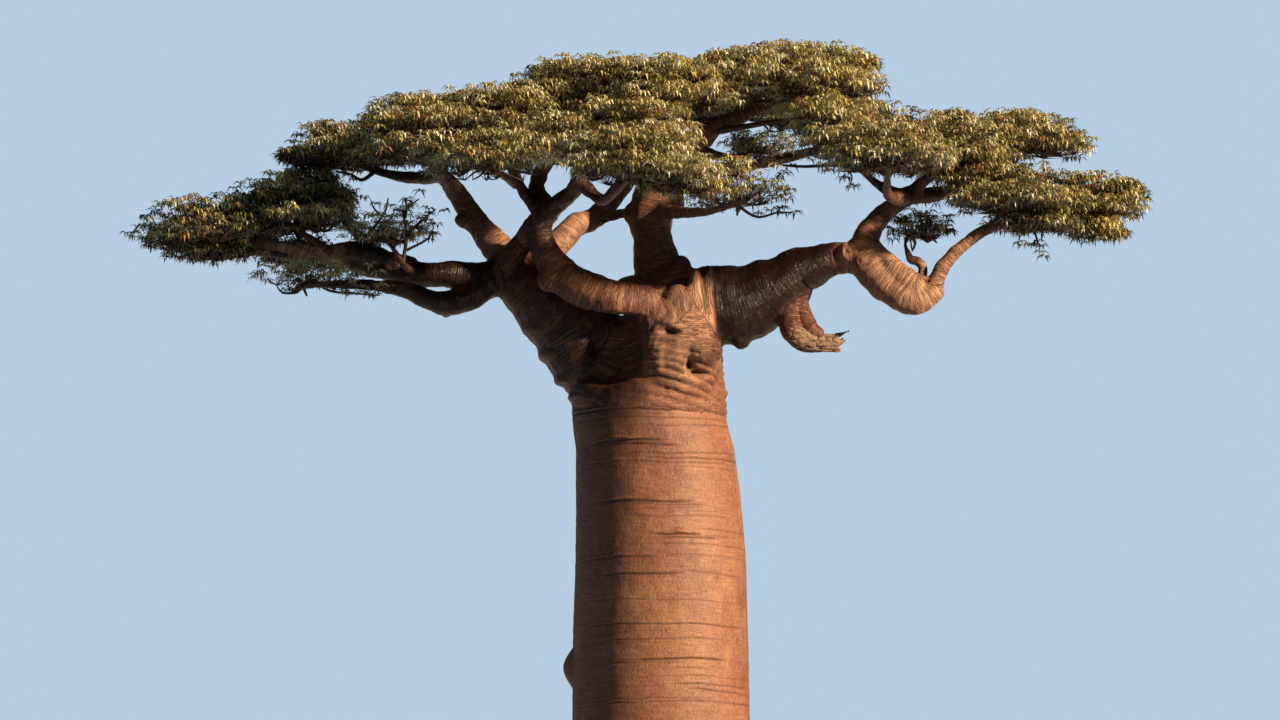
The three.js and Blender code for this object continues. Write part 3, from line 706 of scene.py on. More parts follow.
# %% Share the limbs out between the two skins
inner_runs, outer_runs = [], []
for plan in plans.values():
    plan["path"] = waved(plan["path"], plan["radius"])
    if "start" in plan:
        plan["path"][:SUNK_STEPS, :2] *= np.linspace(0.4, 1, SUNK_STEPS)[:, None]
    plan["radius"] = plan["radius"] * SLIMMER.get(plan["name"], 1.0)
    thick = np.flatnonzero(plan["radius"] > THINNEST_IN_SKIN)
    last = BROKEN_AT.get(plan["name"], thick[-1] + 1)
    outer = is_outer(plan["path"][:last])
    turns = np.flatnonzero(np.diff(outer)) + 1
    for first, end in zip([0, *turns], [*turns, last]):
        if not outer[first]:
            end = min(end + OVERLAP_STEPS, last)
        if end - first > 2:
            runs = outer_runs if outer[first] else inner_runs
            runs.append((plan["path"][first:end], np.maximum(plan["radius"][first:end], THINNEST_PIPE)))
# Ribs that the limbs have grown on their sides: points, and the radius at each
RIBS = [
    ([(-4.25, -0.1, 21.1), (-4.78, -0.1, 21.25), (-5.17, -0.12, 21.36), (-5.81, -0.15, 21.37),
      (-6.51, -0.18, 21.49), (-7.09, -0.2, 21.57)], (0.16, 0.17, 0.18, 0.12, 0.09, 0.08)),
    ([(-2.75, -0.1, 21.07), (-2.41, -0.45, 21.46), (-2.1, -0.9, 21.84)], (0.28, 0.2, 0.16)),
    ([(3.62, -0.82, 21.36), (3.9, -1.0, 21.0), (4.14, -1.08, 20.76), (4.4, -1.1, 20.64)],
     (0.12, 0.2, 0.25, 0.24)),
    ([(2.32, -0.6, 20.48), (2.48, -0.6, 20.05), (2.74, -0.58, 19.87)], (0.2, 0.17, 0.11)),
    ([(-1.52, -1.9, 22.2), (-1.41, -2.15, 22.42), (-1.37, -2.3, 22.75)], (0.13, 0.11, 0.08)),
]
STEPS_PER_STOP = 8
RIB_WAVE = 0.2
for stops, radii in RIBS:
    shares = np.linspace(0, 1, STEPS_PER_STOP * len(stops))
    rib = waved(path_at(stops, shares), np.full(len(shares), RIB_WAVE))
    runs = outer_runs if is_outer(rib).mean() > 0.5 else inner_runs
    runs.append((rib, np.interp(shares, np.linspace(0, 1, len(radii)), radii)))
print("runs in the inner skin:", len(inner_runs), "in the outer skin:", len(outer_runs))

# %% Wrap them in two skins
SKIN_VOXEL = 0.032
PIPE_SIDES = 16
# The turned head: where it starts, where its even steps end, and its crown
HEAD_FROM, HEAD_TO, HEAD_CROWN = 18.52, 20.98, 21.02
HEAD_STEP = 0.06
HEAD_SIDES = 96
COLLAR_SWELL = 0.02
COLLAR_LEAN = 0.07
# The swellings on the head and boughs: middle, and reach along x, y and z
SWELLINGS = [
    ((0.2, -0.75, 19.6), (0.82, 0.8, 1.05)), ((0.7, -1.28, 19.52), (0.34, 0.32, 0.25)),
    ((0.56, -0.85, 20.42), (0.15, 0.32, 0.6)), ((0.78, -0.8, 20.4), (0.14, 0.32, 0.66)),
    ((0.67, -0.75, 20.38), (0.2, 0.3, 0.6)),
    ((0.28, -0.95, 20.3), (0.34, 0.38, 0.42)), ((0.33, -0.25, 21.03), (0.19, 0.22, 0.27)),
    ((0.12, -1.24, 20.0), (0.26, 0.34, 0.13)), ((1.36, -0.35, 19.8), (0.17, 0.2, 0.15)),
    ((1.68, -0.5, 20.0), (0.12, 0.14, 0.12)), ((3.14, -1.0, 21.26), (0.15, 0.15, 0.19)),
    ((3.36, -1.05, 21.1), (0.1, 0.12, 0.14)), ((-3.4, 0.15, 21.94), (0.16, 0.16, 0.14)),
    ((-0.52, 0.3, 22.08), (0.15, 0.18, 0.18)), ((0.2, 0.3, 22.27), (0.2, 0.22, 0.22)),
    ((-1.9, -1.0, 20.78), (0.24, 0.24, 0.2)), ((-0.5, -0.2, 20.75), (0.3, 0.3, 0.22)),
    ((4.63, -1.0, 20.56), (0.17, 0.2, 0.22)), ((0.5, 0.7, 19.9), (0.5, 0.4, 0.4)),
    ((-0.7, 0.75, 19.75), (0.5, 0.45, 0.5)), ((-0.36, 0.2, 21.35), (0.14, 0.2, 0.5)),
    ((-3.69, -0.3, 20.32), (0.1, 0.16, 0.12)),
]


def head_shape(shape):
    """Adds the turned head, closed at both ends, to a bmesh."""
    levels = np.concatenate([np.arange(HEAD_FROM, HEAD_TO, HEAD_STEP), [HEAD_CROWN]])
    widths = np.interp(levels, ring_heights, ring_radii)
    swell = COLLAR_SWELL * smooth_step(HEAD_FROM, HEAD_FROM + 0.12, levels)
    widths += swell * (1 - smooth_step(19.0, 19.5, levels))
    shifts = np.interp(levels, ring_heights, ring_drifts)
    rim = [shape.verts.new((0, 0, levels[0]))]
    rim += [shape.verts.new((width, 0, level)) for width, level in zip(widths, levels)]
    rim.append(shape.verts.new((0, 0, levels[-1] + 0.03)))
    spin_round(shape, rim, HEAD_SIDES, 1e-4)
    bmesh.ops.recalc_face_normals(shape, faces=shape.faces)
    for vert in shape.verts:
        vert.co.x += np.interp(vert.co.z, levels, shifts)
        vert.co.z += -COLLAR_LEAN * vert.co.x * (1 - smooth_step(18.7, 19.6, vert.co.z))


def wrap(mesh, voxel):
    """One closed skin over all that a mesh holds."""
    holder = placed("wrapping", mesh)
    remesh = holder.modifiers.new("skin", "REMESH")
    remesh.mode = "VOXEL"
    remesh.voxel_size = voxel
    return settled(holder)


def skin_over(name, runs, outer):
    """The skin over pipes, the swellings on its side and, for the inner skin, the head."""
    shape = bmesh.new()
    if not outer:
        head_shape(shape)
    for middle, size in SWELLINGS:
        if is_outer(np.array([middle]))[0] == outer:
            made = bmesh.ops.create_icosphere(shape, subdivisions=3, radius=1.0)
            for vert in made["verts"]:
                vert.co = Vector(middle) + vert.co * Vector(size)
    shape.from_mesh(pipe_mesh("limb_pipes", runs, PIPE_SIDES))
    mesh = wrap(mesh_of(shape, "unwrapped_" + name), SKIN_VOXEL)
    mesh.name = name
    return mesh


skins = [skin_over("head_and_boughs", inner_runs, False), skin_over("outer_boughs", outer_runs, True)]
print("skin points:", [len(skin.vertices) for skin in skins])

# %% [markdown]
# ## Which limb each point lies on
# The wrinkles run round a limb, so each point of the skin looks for the limb whose surface is nearest
# and notes how far along that limb it lies. Where two limbs are about as near, the point is in a
# joint: there the skin is melted smooth and then folded instead.

# %% Find the limb under each point
# Every limb counts its length from a number of its own, so that no two wrinkle alike
LENGTH_APART = 31.7
JOINT_REACH = 0.09
POINTS_AT_ONCE = 3000
FAR_OFF = 9


def limb_samples():
    """Points along the middle of the head and of every limb, with what is known at each."""
    centres, widths, lengths, lines, numbers = [], [], [], [], []
    levels = np.arange(18.0, 21.0, 0.08)
    shifts = np.interp(levels, ring_heights, ring_drifts)
    centres.append(np.column_stack([shifts, np.zeros(len(levels)), levels]))
    widths.append(np.interp(levels, ring_heights, ring_radii))
    lengths.append(levels)
    lines.append(np.tile([0.0, 0.0, 1.0], (len(levels), 1)))
    numbers.append(np.zeros(len(levels), int))
    for number, plan in enumerate(plans.values(), 1):
        centres.append(plan["path"])
        widths.append(plan["radius"])
        lengths.append(plan["along"] + LENGTH_APART * number)
        line = np.gradient(plan["path"], axis=0)
        lines.append(line / np.linalg.norm(line, axis=1)[:, None])
        numbers.append(np.full(len(plan["path"]), number))
    return [np.concatenate(part) for part in (centres, widths, lengths, lines, numbers)]


def lie_of(points):
    """For each point: the length along its limb, how much it is in a joint, and the limb's number."""
    centres, widths, lengths, lines, numbers = limb_samples()
    along = np.empty(len(points))
    joint = np.empty(len(points))
    owner = np.empty(len(points), int)
    for start in range(0, len(points), POINTS_AT_ONCE):
        batch = slice(start, start + POINTS_AT_ONCE)
        part = points[batch]
        gaps = np.sqrt(((part[:, None] - centres[None]) ** 2).sum(axis=2)) - widths
        best = gaps.argmin(axis=1)
        rows = np.arange(len(part))
        least = gaps[rows, best]
        owner[batch] = numbers[best]
        gaps[numbers[None] == numbers[best][:, None]] = FAR_OFF
        joint[batch] = np.exp(-(np.abs(gaps.min(axis=1) - least) / JOINT_REACH))
        offset = ((part - centres[best]) * lines[best]).sum(axis=1)
        along[batch] = lengths[best] + offset
    return along, joint, owner


print("samples on the limbs:", len(limb_samples()[0]))

# %% Melt the joints
HEAD_ROUND = 1.7
MELT_ROUNDS = 14


def relax(mesh, points, strength, rounds):
    """Pulls each point towards the middle of its neighbours, by its own strength."""
    pairs = np.empty(2 * len(mesh.edges), int)
    mesh.edges.foreach_get("vertices", pairs)
    a, b = pairs.reshape(-1, 2).T
    count = np.bincount(np.concatenate([a, b]), minlength=len(points))[:, None]
    for _ in range(rounds):
        total = np.column_stack([np.bincount(a, points[b, axis], len(points))
                                 + np.bincount(b, points[a, axis], len(points)) for axis in range(3)])
        points = points + strength[:, None] * (total / np.maximum(count, 1) - points)
    return points


def melt(mesh):
    """Smooths the joints and the head of a skin, and gives the lie of its points."""
    points = points_of(mesh)
    along, joint, owner = lie_of(points)
    points = relax(mesh, points, np.full(len(points), 0.5), 3)
    in_head = np.hypot(points[:, 0], points[:, 1]) < HEAD_ROUND
    head_share = (1 - smooth_step(20.3, 20.8, points[:, 2])) * in_head
    strength = 0.6 * np.maximum(smooth_step(0.1, 0.6, joint), 0.8 * head_share)
    points = relax(mesh, points, strength, MELT_ROUNDS)
    move_points(mesh, points)
    print("share of", mesh.name, "in joints:", round(float((joint > 0.5).mean()), 3))
    return along, joint, owner


lies = [melt(mesh) for mesh in skins]

# %% [markdown]
# ## Folds, rolls and hollows
# The skins are now sculpted along their normals. Big slow lumps make them living, soft rolls run round
# each bough, the collar under the head gets deep folds that sweep down to one side, and a few strokes
# press hollows where the real tree has them. Shade is painted at the bottoms of the folds and in
# the hollows.

# %% Say where shade and sunlight are painted on the bark
# How much shade is painted on the bark of a limb: the boughs in the crown's shade get the most, and below 0
# stand those painted with sunlight
PAINTED_SHADES = {
    "left_main_bough": 0.6, "left_low_bough": 0.95, "left_under_bough": 1.0, "leader": -0.1,
    "right_main_bough": 1.0, "right_rising_bough": -0.15, "back_main_bough": 0.4,
    "right_inner_branch": 0.6, "left_high_branch": 0.6, "right_crest_branch": 0.5,
    "left_knee_branch": 0.5, "left_mid_branch": 0.3, "mid_back_bough": -0.6,
    "front_pale_branch": -0.5, "front_cross_branch": 0.8, "front_red_branch": 0.3,
    "right_drop_bough": -0.8, "right_low_branch": -0.35, "leader_low_branch": -0.2, "front_bough": 0.05,
    "left_high_bough": -0.4, "left_sprig_branch": 0.8,
}
# middle, reach along x, y and z, and the painted shade inside, which below 0 is painted sunlight
PAINTED_SHADE_SPOTS = [
    ((0.35, -1.2, 20.0), (0.56, 0.8, 1.15), -0.35), ((3.3, -0.95, 21.2), (0.36, 0.5, 0.5), -0.25),
    ((-6.3, -0.1, 21.35), (0.9, 0.4, 0.4), -0.9), ((-1.9, -1.2, 21.95), (0.6, 0.9, 0.75), 0.75),
    ((-1.5, -0.6, 19.6), (0.42, 0.6, 0.45), 0.95), ((-1.12, -0.9, 19.0), (0.62, 0.7, 0.27), 0.85),
    ((-0.75, -1.3, 18.85), (0.5, 0.8, 0.28), 0.8),
]
HEAD_PAINTED_SHADE, OTHER_PAINTED_SHADE = 0.05, 0.12
PAINTED_SHADE_ROUNDS = 10
limb_painted_shades = np.array([HEAD_PAINTED_SHADE] + [PAINTED_SHADES.get(name, OTHER_PAINTED_SHADE) for name in plans])


def painted_shade_of(mesh, points, owner):
    """How much shade is painted at each point, below 0 sunlight: as its limb or its spot, with soft edges
    from one to the next.
    """
    painted_here = limb_painted_shades[owner]
    for middle, size, painted_shade in PAINTED_SHADE_SPOTS:
        painted_here[np.linalg.norm((points - middle) / size, axis=1) < 1] = painted_shade
    return relax(mesh, np.tile(painted_here[:, None], (1, 3)), np.ones(len(points)), PAINTED_SHADE_ROUNDS)[:, 0]


print("darkest and palest limb:", limb_painted_shades.max(), limb_painted_shades.min())

# %% Sculpt the head and boughs
# middle, reach along x, y and z, push, and how much shade is painted in the dent
STROKES = [
    ((0.68, -1.45, 19.13), (0.27, 0.45, 0.12), -0.26, 1.0),
    ((0.47, -1.5, 19.26), (0.09, 0.35, 0.17), -0.12, 0.9),
    ((0.14, -1.5, 19.85), (0.24, 0.4, 0.08), -0.15, 1.0),
    ((0.05, -1.45, 19.68), (0.3, 0.5, 0.04), -0.05, 0.5),
    ((0.97, -0.85, 20.45), (0.06, 0.35, 0.5), -0.03, 0.3),
    ((0.4, -1.0, 20.65), (0.07, 0.5, 0.3), -0.03, 0.45),
    ((3.14, -1.18, 21.26), (0.08, 0.16, 0.12), -0.05, 0.35),
    ((3.36, -1.2, 21.1), (0.05, 0.14, 0.08), -0.05, 0.4),
    ((-0.85, -1.0, 19.6), (0.95, 0.6, 1.0), -0.3, 0.0),
    ((-0.1, -0.9, 20.7), (0.14, 0.3, 0.1), -0.06, 0.6),
    ((-2.2, 0.0, 20.06), (0.24, 0.6, 0.17), 0.15, 0.0),
    ((-1.9, 0.0, 19.6), (0.24, 0.6, 0.17), 0.15, 0.0),
    ((-1.62, 0.0, 19.18), (0.26, 0.6, 0.14), 0.14, 0.0),
    ((-1.45, -0.2, 18.86), (0.3, 0.6, 0.1), 0.06, 0.0),
    ((1.08, -0.3, 18.92), (0.2, 0.5, 0.1), 0.05, 0.0),
    ((-3.05, -0.2, 20.35), (0.3, 0.4, 0.14), 0.07, 0.0),
]
LUMPS, WARTS = 0.036, 0.016
ROLLS = 0.018
FOLD_DEPTH, FOLD_GAP = 0.05, 0.15
STREAK_DEPTH = 0.013
KNIT_DEPTH = 0.04
HEAD_REACH = 1.75
# The heights between which the collar and the neck start, and those between which they end
COLLAR_START, COLLAR_END = (18.45, 18.7), (19.1, 19.45)
NECK_START, NECK_END = (18.9, 19.3), (20.6, 20.9)
FOLD_LEAN = 0.3


def sculpt(mesh, along, joint, owner):
    """Pushes each point along its normal, and notes what the bark needs to know."""
    skin = points_of(mesh)
    x, y, z = skin.T
    in_head = np.hypot(x + 0.1, y) < HEAD_REACH
    lit_side = smooth_step(-0.75, 0.1, x)

    # Slow lumps, and soft rolls that run round each limb
    lumps = LUMPS * rough(skin, 0.55, 2) + WARTS * rough(skin + 9, 0.16, 2)
    rolls = rough(np.column_stack([skin[:, :2] * 0.5, along * 3.4]), 0.8, 2)
    push = lumps * (0.55 + 0.45 * joint) + ROLLS * rolls * (1 - 0.5 * joint)

    # The collar's folds, with shade painted at their bottoms
    lean = z + FOLD_LEAN * x + 0.11 * rough(skin * (0.7, 0.7, 1.3), 0.9, 2) + 0.02 * rough(skin, 0.2)
    ended = smooth_step(*COLLAR_END, z - 0.35 * lit_side)
    collar = smooth_step(*COLLAR_START, z) * (1 - ended) * in_head
    wave = np.abs(np.sin(math.pi * lean / FOLD_GAP))
    strength = collar * (0.3 + 0.7 * lit_side) * (0.55 + 0.9 * np.abs(rough(skin + 3, 0.5)))
    push += FOLD_DEPTH * strength * (wave**0.6 - 0.6)
    hollow_shade = 0.8 * strength * (1 - smooth_step(0.0, 0.35, wave))

    # Upright streaks on the neck above it, with shade painted in their hollows
    streaks = rough(skin * (1, 1, 0.22), 0.13, 2)
    neck = smooth_step(*NECK_START, z) * (1 - smooth_step(*NECK_END, z)) * in_head
    push += STREAK_DEPTH * neck * streaks
    hollow_shade += 0.3 * neck * smooth_step(0.15, 0.5, -streaks)

    # Knitted folds where limbs have grown together, with shade painted in their creases
    knit = smooth_step(0.35, 0.9, joint) * (1 - collar)
    knots = np.abs(rough(skin * (1, 1, 0.7), 0.2, 3))
    push += KNIT_DEPTH * knit * (knots - 0.3)
    hollow_shade += 0.75 * knit * (1 - smooth_step(0.0, 0.14, knots))

    for middle, size, depth, shade in STROKES:
        dent = np.clip(1 - np.linalg.norm((skin - middle) / size, axis=1) ** 2, 0, 1) ** 2
        push += depth * dent
        hollow_shade += shade * smooth_step(0.3, 0.8, dent)
    move_points(mesh, skin + normals_of(mesh) * push[:, None])
    painted_shade = painted_shade_of(mesh, skin, owner)
    tell_bark(mesh, along, np.clip(hollow_shade, 0, 1), joint, 1 - 0.55 * collar, painted_shade)


wood_nodes = [name for name in frame["nodes"] if not name.startswith(("foliage_", "dead_"))]
for mesh, lie in zip(skins, lies):
    sculpt(mesh, *lie)
    piece(mesh.name, mesh, bronze_bark, wood_nodes)

# %% [markdown]
# ## Dead wood
# Two broken limbs have lost their bark. Bare wood is pale, dull and split along its length, and it ends
# in torn splinters. The pipe of each carries on from the skin, a few splinters are added at its end,
# and a fine skin of its own holds the splits.

# %% Carve the dead ends
DEAD_VOXEL = 0.016
DEAD_SIDES = 12
SPLIT_DEPTH = 0.028
STRAW = (0.4, 0.25, 0.13, 1)
ASH = (0.2, 0.135, 0.09, 1)


def make_dead_wood():
    """Dull fibres of two colours, with some bronze left on them and shade painted in the splits."""
    dead = Finish("pale_dead_wood", roughness=0.8)
    place = dead.stretched(dead.place(), (1.0, 2.2, 2.6))
    fibres = dead.noise(place, 9.0, 5.0, 0.7)
    crease_shade = dead.noted("crease_shade")
    colour = dead.blend(fibres.between(0.35, 0.65), ASH, STRAW)
    colour = dead.blend(dead.noise(dead.place(), 3.0, 4.0).between(0.5, 0.7) * 0.6, colour, BRONZE)
    dead.colour(dead.blend(crease_shade, colour, CREASE_SHADE_BROWN))
    dead.bump(fibres, 0.02)
    return dead.material


stub, spur = plans["dead_stub"], plans["dead_spur"]
# Each limb, the steps of it that are bare, and how stout it is against the plan
BARE = [(stub, slice(25, 57), 0.98), (spur, slice(18, 58), 1.15)]
dead_runs = [(limb["path"][steps], limb["radius"][steps] * stout) for limb, steps, stout in BARE]
# splinters: points along each, and its thickness at both ends
SPLINTERS = [
    ([(2.7, -0.56, 19.84), (2.98, -0.52, 19.88), (3.2, -0.5, 19.97)], 0.075, 0.012),
    ([(2.7, -0.56, 19.76), (2.96, -0.55, 19.75), (3.14, -0.53, 19.8)], 0.09, 0.02),
    ([(2.6, -0.6, 19.7), (2.86, -0.58, 19.65), (3.05, -0.55, 19.63)], 0.1, 0.035),
    ([(2.8, -0.42, 19.8), (3.0, -0.38, 19.8), (3.1, -0.36, 19.86)], 0.06, 0.01),
    ([(-0.8, 0.8, 22.1), (-0.62, 0.82, 22.2), (-0.5, 0.82, 22.26)], 0.05, 0.012),
    ([(-0.95, 0.75, 22.05), (-0.75, 0.78, 22.06), (-0.58, 0.78, 22.1)], 0.05, 0.02),
]
SPLINTER_STEPS = 14
for stops, first, last in SPLINTERS:
    line = path_at(stops, np.linspace(0, 1, SPLINTER_STEPS))
    dead_runs.append((line, np.linspace(first, last, SPLINTER_STEPS)))

dead_mesh = wrap(pipe_mesh("dead_wood", dead_runs, DEAD_SIDES), DEAD_VOXEL)
points = points_of(dead_mesh)
splits = np.abs(rough(points * (0.35, 1, 1), 0.09, 2))
knobbly = rough(points, 0.16, 2)
push = 0.015 * knobbly - SPLIT_DEPTH * (1 - smooth_step(0, 0.16, splits))
move_points(dead_mesh, points + normals_of(dead_mesh) * push[:, None])
# Shade is painted in the splits
note(dead_mesh, "crease_shade", 1 - smooth_step(0, 0.12, splits))
dead_mesh.shade_smooth()
piece("dead_wood", dead_mesh, make_dead_wood(), ["dead_stub", "dead_spur"])

# %% [markdown]
# ## Branch ends
# Where a limb gets thinner than the skin can hold, a plain pipe of its own carries on, its start sunk
# in the skin, and runs to the hub of the mass that it feeds.

# %% Carry the limbs on to their hubs
END_SIDES = 10
END_STEPS = 22
end_runs = []
# A side branch of the pale branch, which feeds the leaves in front on the left
SIDE_BRANCH = [(-2.5, -0.98, 22.42), (-2.68, -2.2, 22.42), (-2.83, -3.6, 22.33)]
for plan in plans.values():
    thin = np.flatnonzero(plan["radius"] <= 1.25 * THINNEST_IN_SKIN)
    if plan["name"] in BROKEN_AT or "feeds" not in plan or len(thin) < 3:
        continue
    start = max(thin[0] - 4, 0)
    end_runs.append((plan["path"][start:], plan["radius"][start:] * 0.98))
# A curled stump on the elbow, which the twigs of the pocket of leaves spring from
STUMP = [(4.395, -0.95, 20.72), (4.446, -0.93, 20.98), (4.36, -0.9, 21.11), (4.24, -0.87, 21.16),
         (4.17, -0.8, 21.33)]
STUMP_RADII = [0.1, 0.075, 0.085, 0.075, 0.035]
shares = np.linspace(0, 1, END_STEPS)
stump_radii = np.interp(shares, np.linspace(0, 1, len(STUMP)), STUMP_RADII)
end_runs.append((path_at(STUMP, shares), stump_radii))
end_runs.append((path_at(SIDE_BRANCH, shares), np.linspace(0.075, 0.045, END_STEPS)))
branch_mesh = pipe_mesh("branch_ends", end_runs, END_SIDES)
points = points_of(branch_mesh)
along, _, owner = lie_of(points)
points = points + normals_of(branch_mesh) * (0.008 * rough(points, 0.15, 2))[:, None]
move_points(branch_mesh, points)
tell_bark(branch_mesh, along, 0, 0, 1, limb_painted_shades[owner])
piece("branch_ends", branch_mesh, bronze_bark, ["left_low_bough"])

# %% [markdown]
# ## Leaves
# A baobab leaf is a hand of narrow leaflets on the end of a shoot. From below the crown it reads as
# small drooping rosettes, packed on the tops of domed clumps, and the clumps lie in layers. So each
# mass grows clumps by the golden-angle rule of the source, each clump grows rosettes over its dome, and
# each rosette spreads its leaflets. Every leaflet is four faces, folded along its rib and bent down.
# Pictures of leaves on flat cards would be lighter, but cards are thin from the side, and here each
# mesh has to look like leaves on its own. The colours go by rosette, and light and shade are painted
# on them: darker inside and below, lighter on top and outside, with a painted highlight on some.

# %% Colours of the leaves
LEAF_TINTS = {
    # A painted highlight, a lit copy of the gold
    "leaf_painted_highlight": (0.95, 0.9, 0.58, 1),
    "leaf_gold": (0.68, 0.58, 0.23, 1),
    "leaf_olive": (0.37, 0.32, 0.11, 1),
    "leaf_green": (0.15, 0.155, 0.06, 1),
    # Painted shade, near black, for rosettes inside and below
    "leaf_painted_shade": (0.03, 0.036, 0.02, 1),
    "leaf_dry": (0.48, 0.25, 0.11, 1),
}
PAINTED_HIGHLIGHT, GOLD, OLIVE, GREEN, SHADE_TINT, DRY = range(6)
LEAF_ROUGHNESS = 0.4
leaf_tints = [plain(name, colour, LEAF_ROUGHNESS) for name, colour in LEAF_TINTS.items()]
twig_brown = plain("twig_brown", (0.09, 0.05, 0.036, 1), 0.7)
print("leaf tints:", len(leaf_tints))

# %% Say how the crown is filled
CLUMPS_PER_M2 = 11.0
ROSETTES_PER_CLUMP = 24
LEAFLETS = 9
CLUMP_REACH = np.array([0.5, 0.5, 0.26])
TOP_SHARE = 0.94
TIER = 0.44
TIER_PULL = 0.75
SQUARENESS = 2.3
# How full the open masses are, where 1 is as full as the rest
FULLNESS = {
    "left_sprig": 0.15, "left_under": 0.22, "right_pocket": 0.09, "mid_right": 0.35, "front_right": 0.4,
    "left_knee": 0.55, "left_mid": 0.65, "left_tip": 0.8,
}
# Gaps in the leaves as they are seen from the front, on the plane through the trunk: left, right, low
# and high edge, how far back the gap reaches, and the share of the rosettes that stay in it
THROUGH = 9.0
GAPS = [
    (-7.15, -5.7, 21.38, 21.68, -0.1, 0.0), (-3.8, -2.16, 22.4, 23.0, THROUGH, 0.0),
    (-3.5, -2.9, 22.9, 23.12, THROUGH, 0.3), (-2.16, -1.48, 22.4, 23.07, THROUGH, 0.0),
    (-1.48, -0.4, 22.3, 22.9, THROUGH, 0.15), (1.5, 2.7, 22.75, 23.6, THROUGH, 0.32),
    (6.3, 7.0, 22.8, 23.12, THROUGH, 0.2),
    (-5.3, -4.9, 22.1, 22.7, THROUGH, 0.2), (-7.2, -5.35, 20.4, 21.05, THROUGH, 0.38),
]
# The camera stands far off and looks up, and the picture's lower edge cuts the trunk at this height
CAMERA_AWAY = 170.0
LOOK_UP = math.radians(6)
PICTURE_FOOT = 13.4
# Masses trimmed against the plan: the shares kept of their rise, of their depth and of their width
TRIMMED = {
    "top_right": (0.9, 1, 1), "left_high": (0.82, 1, 1), "left_shoulder": (0.94, 0.5, 1),
    "front_left": (1, 0.5, 1), "front_mid": (1, 0.5, 1), "front_right": (1, 0.8, 1),
    "left_knee": (1, 1, 0.84), "left_under": (1, 0.7, 1), "top_left": (1.06, 1, 1), "top_mid": (1.06, 1, 1),
    "right_high": (0.87, 1, 1), "right_tip": (1, 0.78, 1),
}
for name, (rise, depth, width) in TRIMMED.items():
    mass = masses[name]
    mass["up"] *= rise
    mass["down"] *= depth
    mass["reach"] = (mass["reach"][0] * width, mass["reach"][1])
print("masses trimmed:", len(TRIMMED), "gaps kept open:", len(GAPS))

# %% Grow clumps and rosettes in a mass
CLUMP_SIZES = (0.65, 1.25)
CLUMPS_FROM = 0.76
FEWEST_CLUMPS = 10
ROSETTES_MORE = 5
LOWEST_ROSETTE = -0.4
WHOLE_TURN = 6.28
# Rosettes sit in a shell round a clump, and those on top and outside are painted the most light
SHELL = (0.68, 1.08)
EDGE_PLAY = 0.05
TOP_LIGHT, OUTSIDE_LIGHT, SHELL_MIDDLE = 0.8, 2.4, 0.9
# How far chance moves a clump's direction, and a rosette in metres
CLUMP_JITTER, ROSETTE_JITTER = 0.1, 0.04
# The whole numbers that the source's rule of chance stirs with
HASH_START, HASH_STEP, HASH_STIR, WORD = 2166136261, 16777619, 1274126177, 2**32


def in_gap(spots, dice):
    """Which places fall in a gap and are not among the few that stay there."""
    nearness = 1 + spots[:, 1] / CAMERA_AWAY
    across = spots[:, 0] / nearness
    above = PICTURE_FOOT + (spots[:, 2] - PICTURE_FOOT - spots[:, 1] * math.tan(LOOK_UP)) / nearness
    lost = np.zeros(len(spots), bool)
    for left, right, low, high, back, share in GAPS:
        inside = (across > left) & (across < right) & (above > low) & (above < high) & (spots[:, 1] < back)
        lost |= inside & (dice.uniform(0, 1, len(spots)) > share)
    return lost


def chance(*keys):
    """The source's repeatable number from 0 to 1 for any whole numbers."""
    value = (HASH_START ^ SEED) % WORD
    for key in keys:
        value = ((value ^ key) * HASH_STEP) % WORD
        value = ((value ^ (value >> 13)) * HASH_STIR) % WORD
    return (value ^ (value >> 16)) / WORD


def fan(count, lowest, start):
    """Directions fanned out by the golden angle from the top down to a lowest rise."""
    k = np.arange(count)
    rise = 1 - (1 - lowest) * (k + 0.5) / count
    turn = k * GOLDEN_ANGLE + start
    level = np.sqrt(1 - rise**2)
    return np.column_stack([level * np.cos(turn), level * np.sin(turn), rise])


def reach_along(mass, directions):
    """From a mass's middle to its edge, which is squarer than an egg so that the crown lies flat."""
    rise = np.where(directions[:, 2] > 0, mass["up"], mass["down"])
    level = (np.abs(directions) ** SQUARENESS).sum(axis=1) ** (1 / SQUARENESS)
    flat_reach = np.tile(mass["reach"], (len(rise), 1))
    return directions * np.column_stack([flat_reach, rise]) * MM / level[:, None]


def share_of(mass, points):
    """How far out each point lies in a mass: 0 at its middle and 1 at its edge."""
    offset = points / MM - mass["centre"]
    rise = np.where(offset[:, 2] > 0, mass["up"], mass["down"])
    parts = np.column_stack([offset[:, 0] / mass["reach"][0], offset[:, 1] / mass["reach"][1],
                             offset[:, 2] / rise])
    return (np.abs(parts) ** SQUARENESS).sum(axis=1) ** (1 / SQUARENESS)


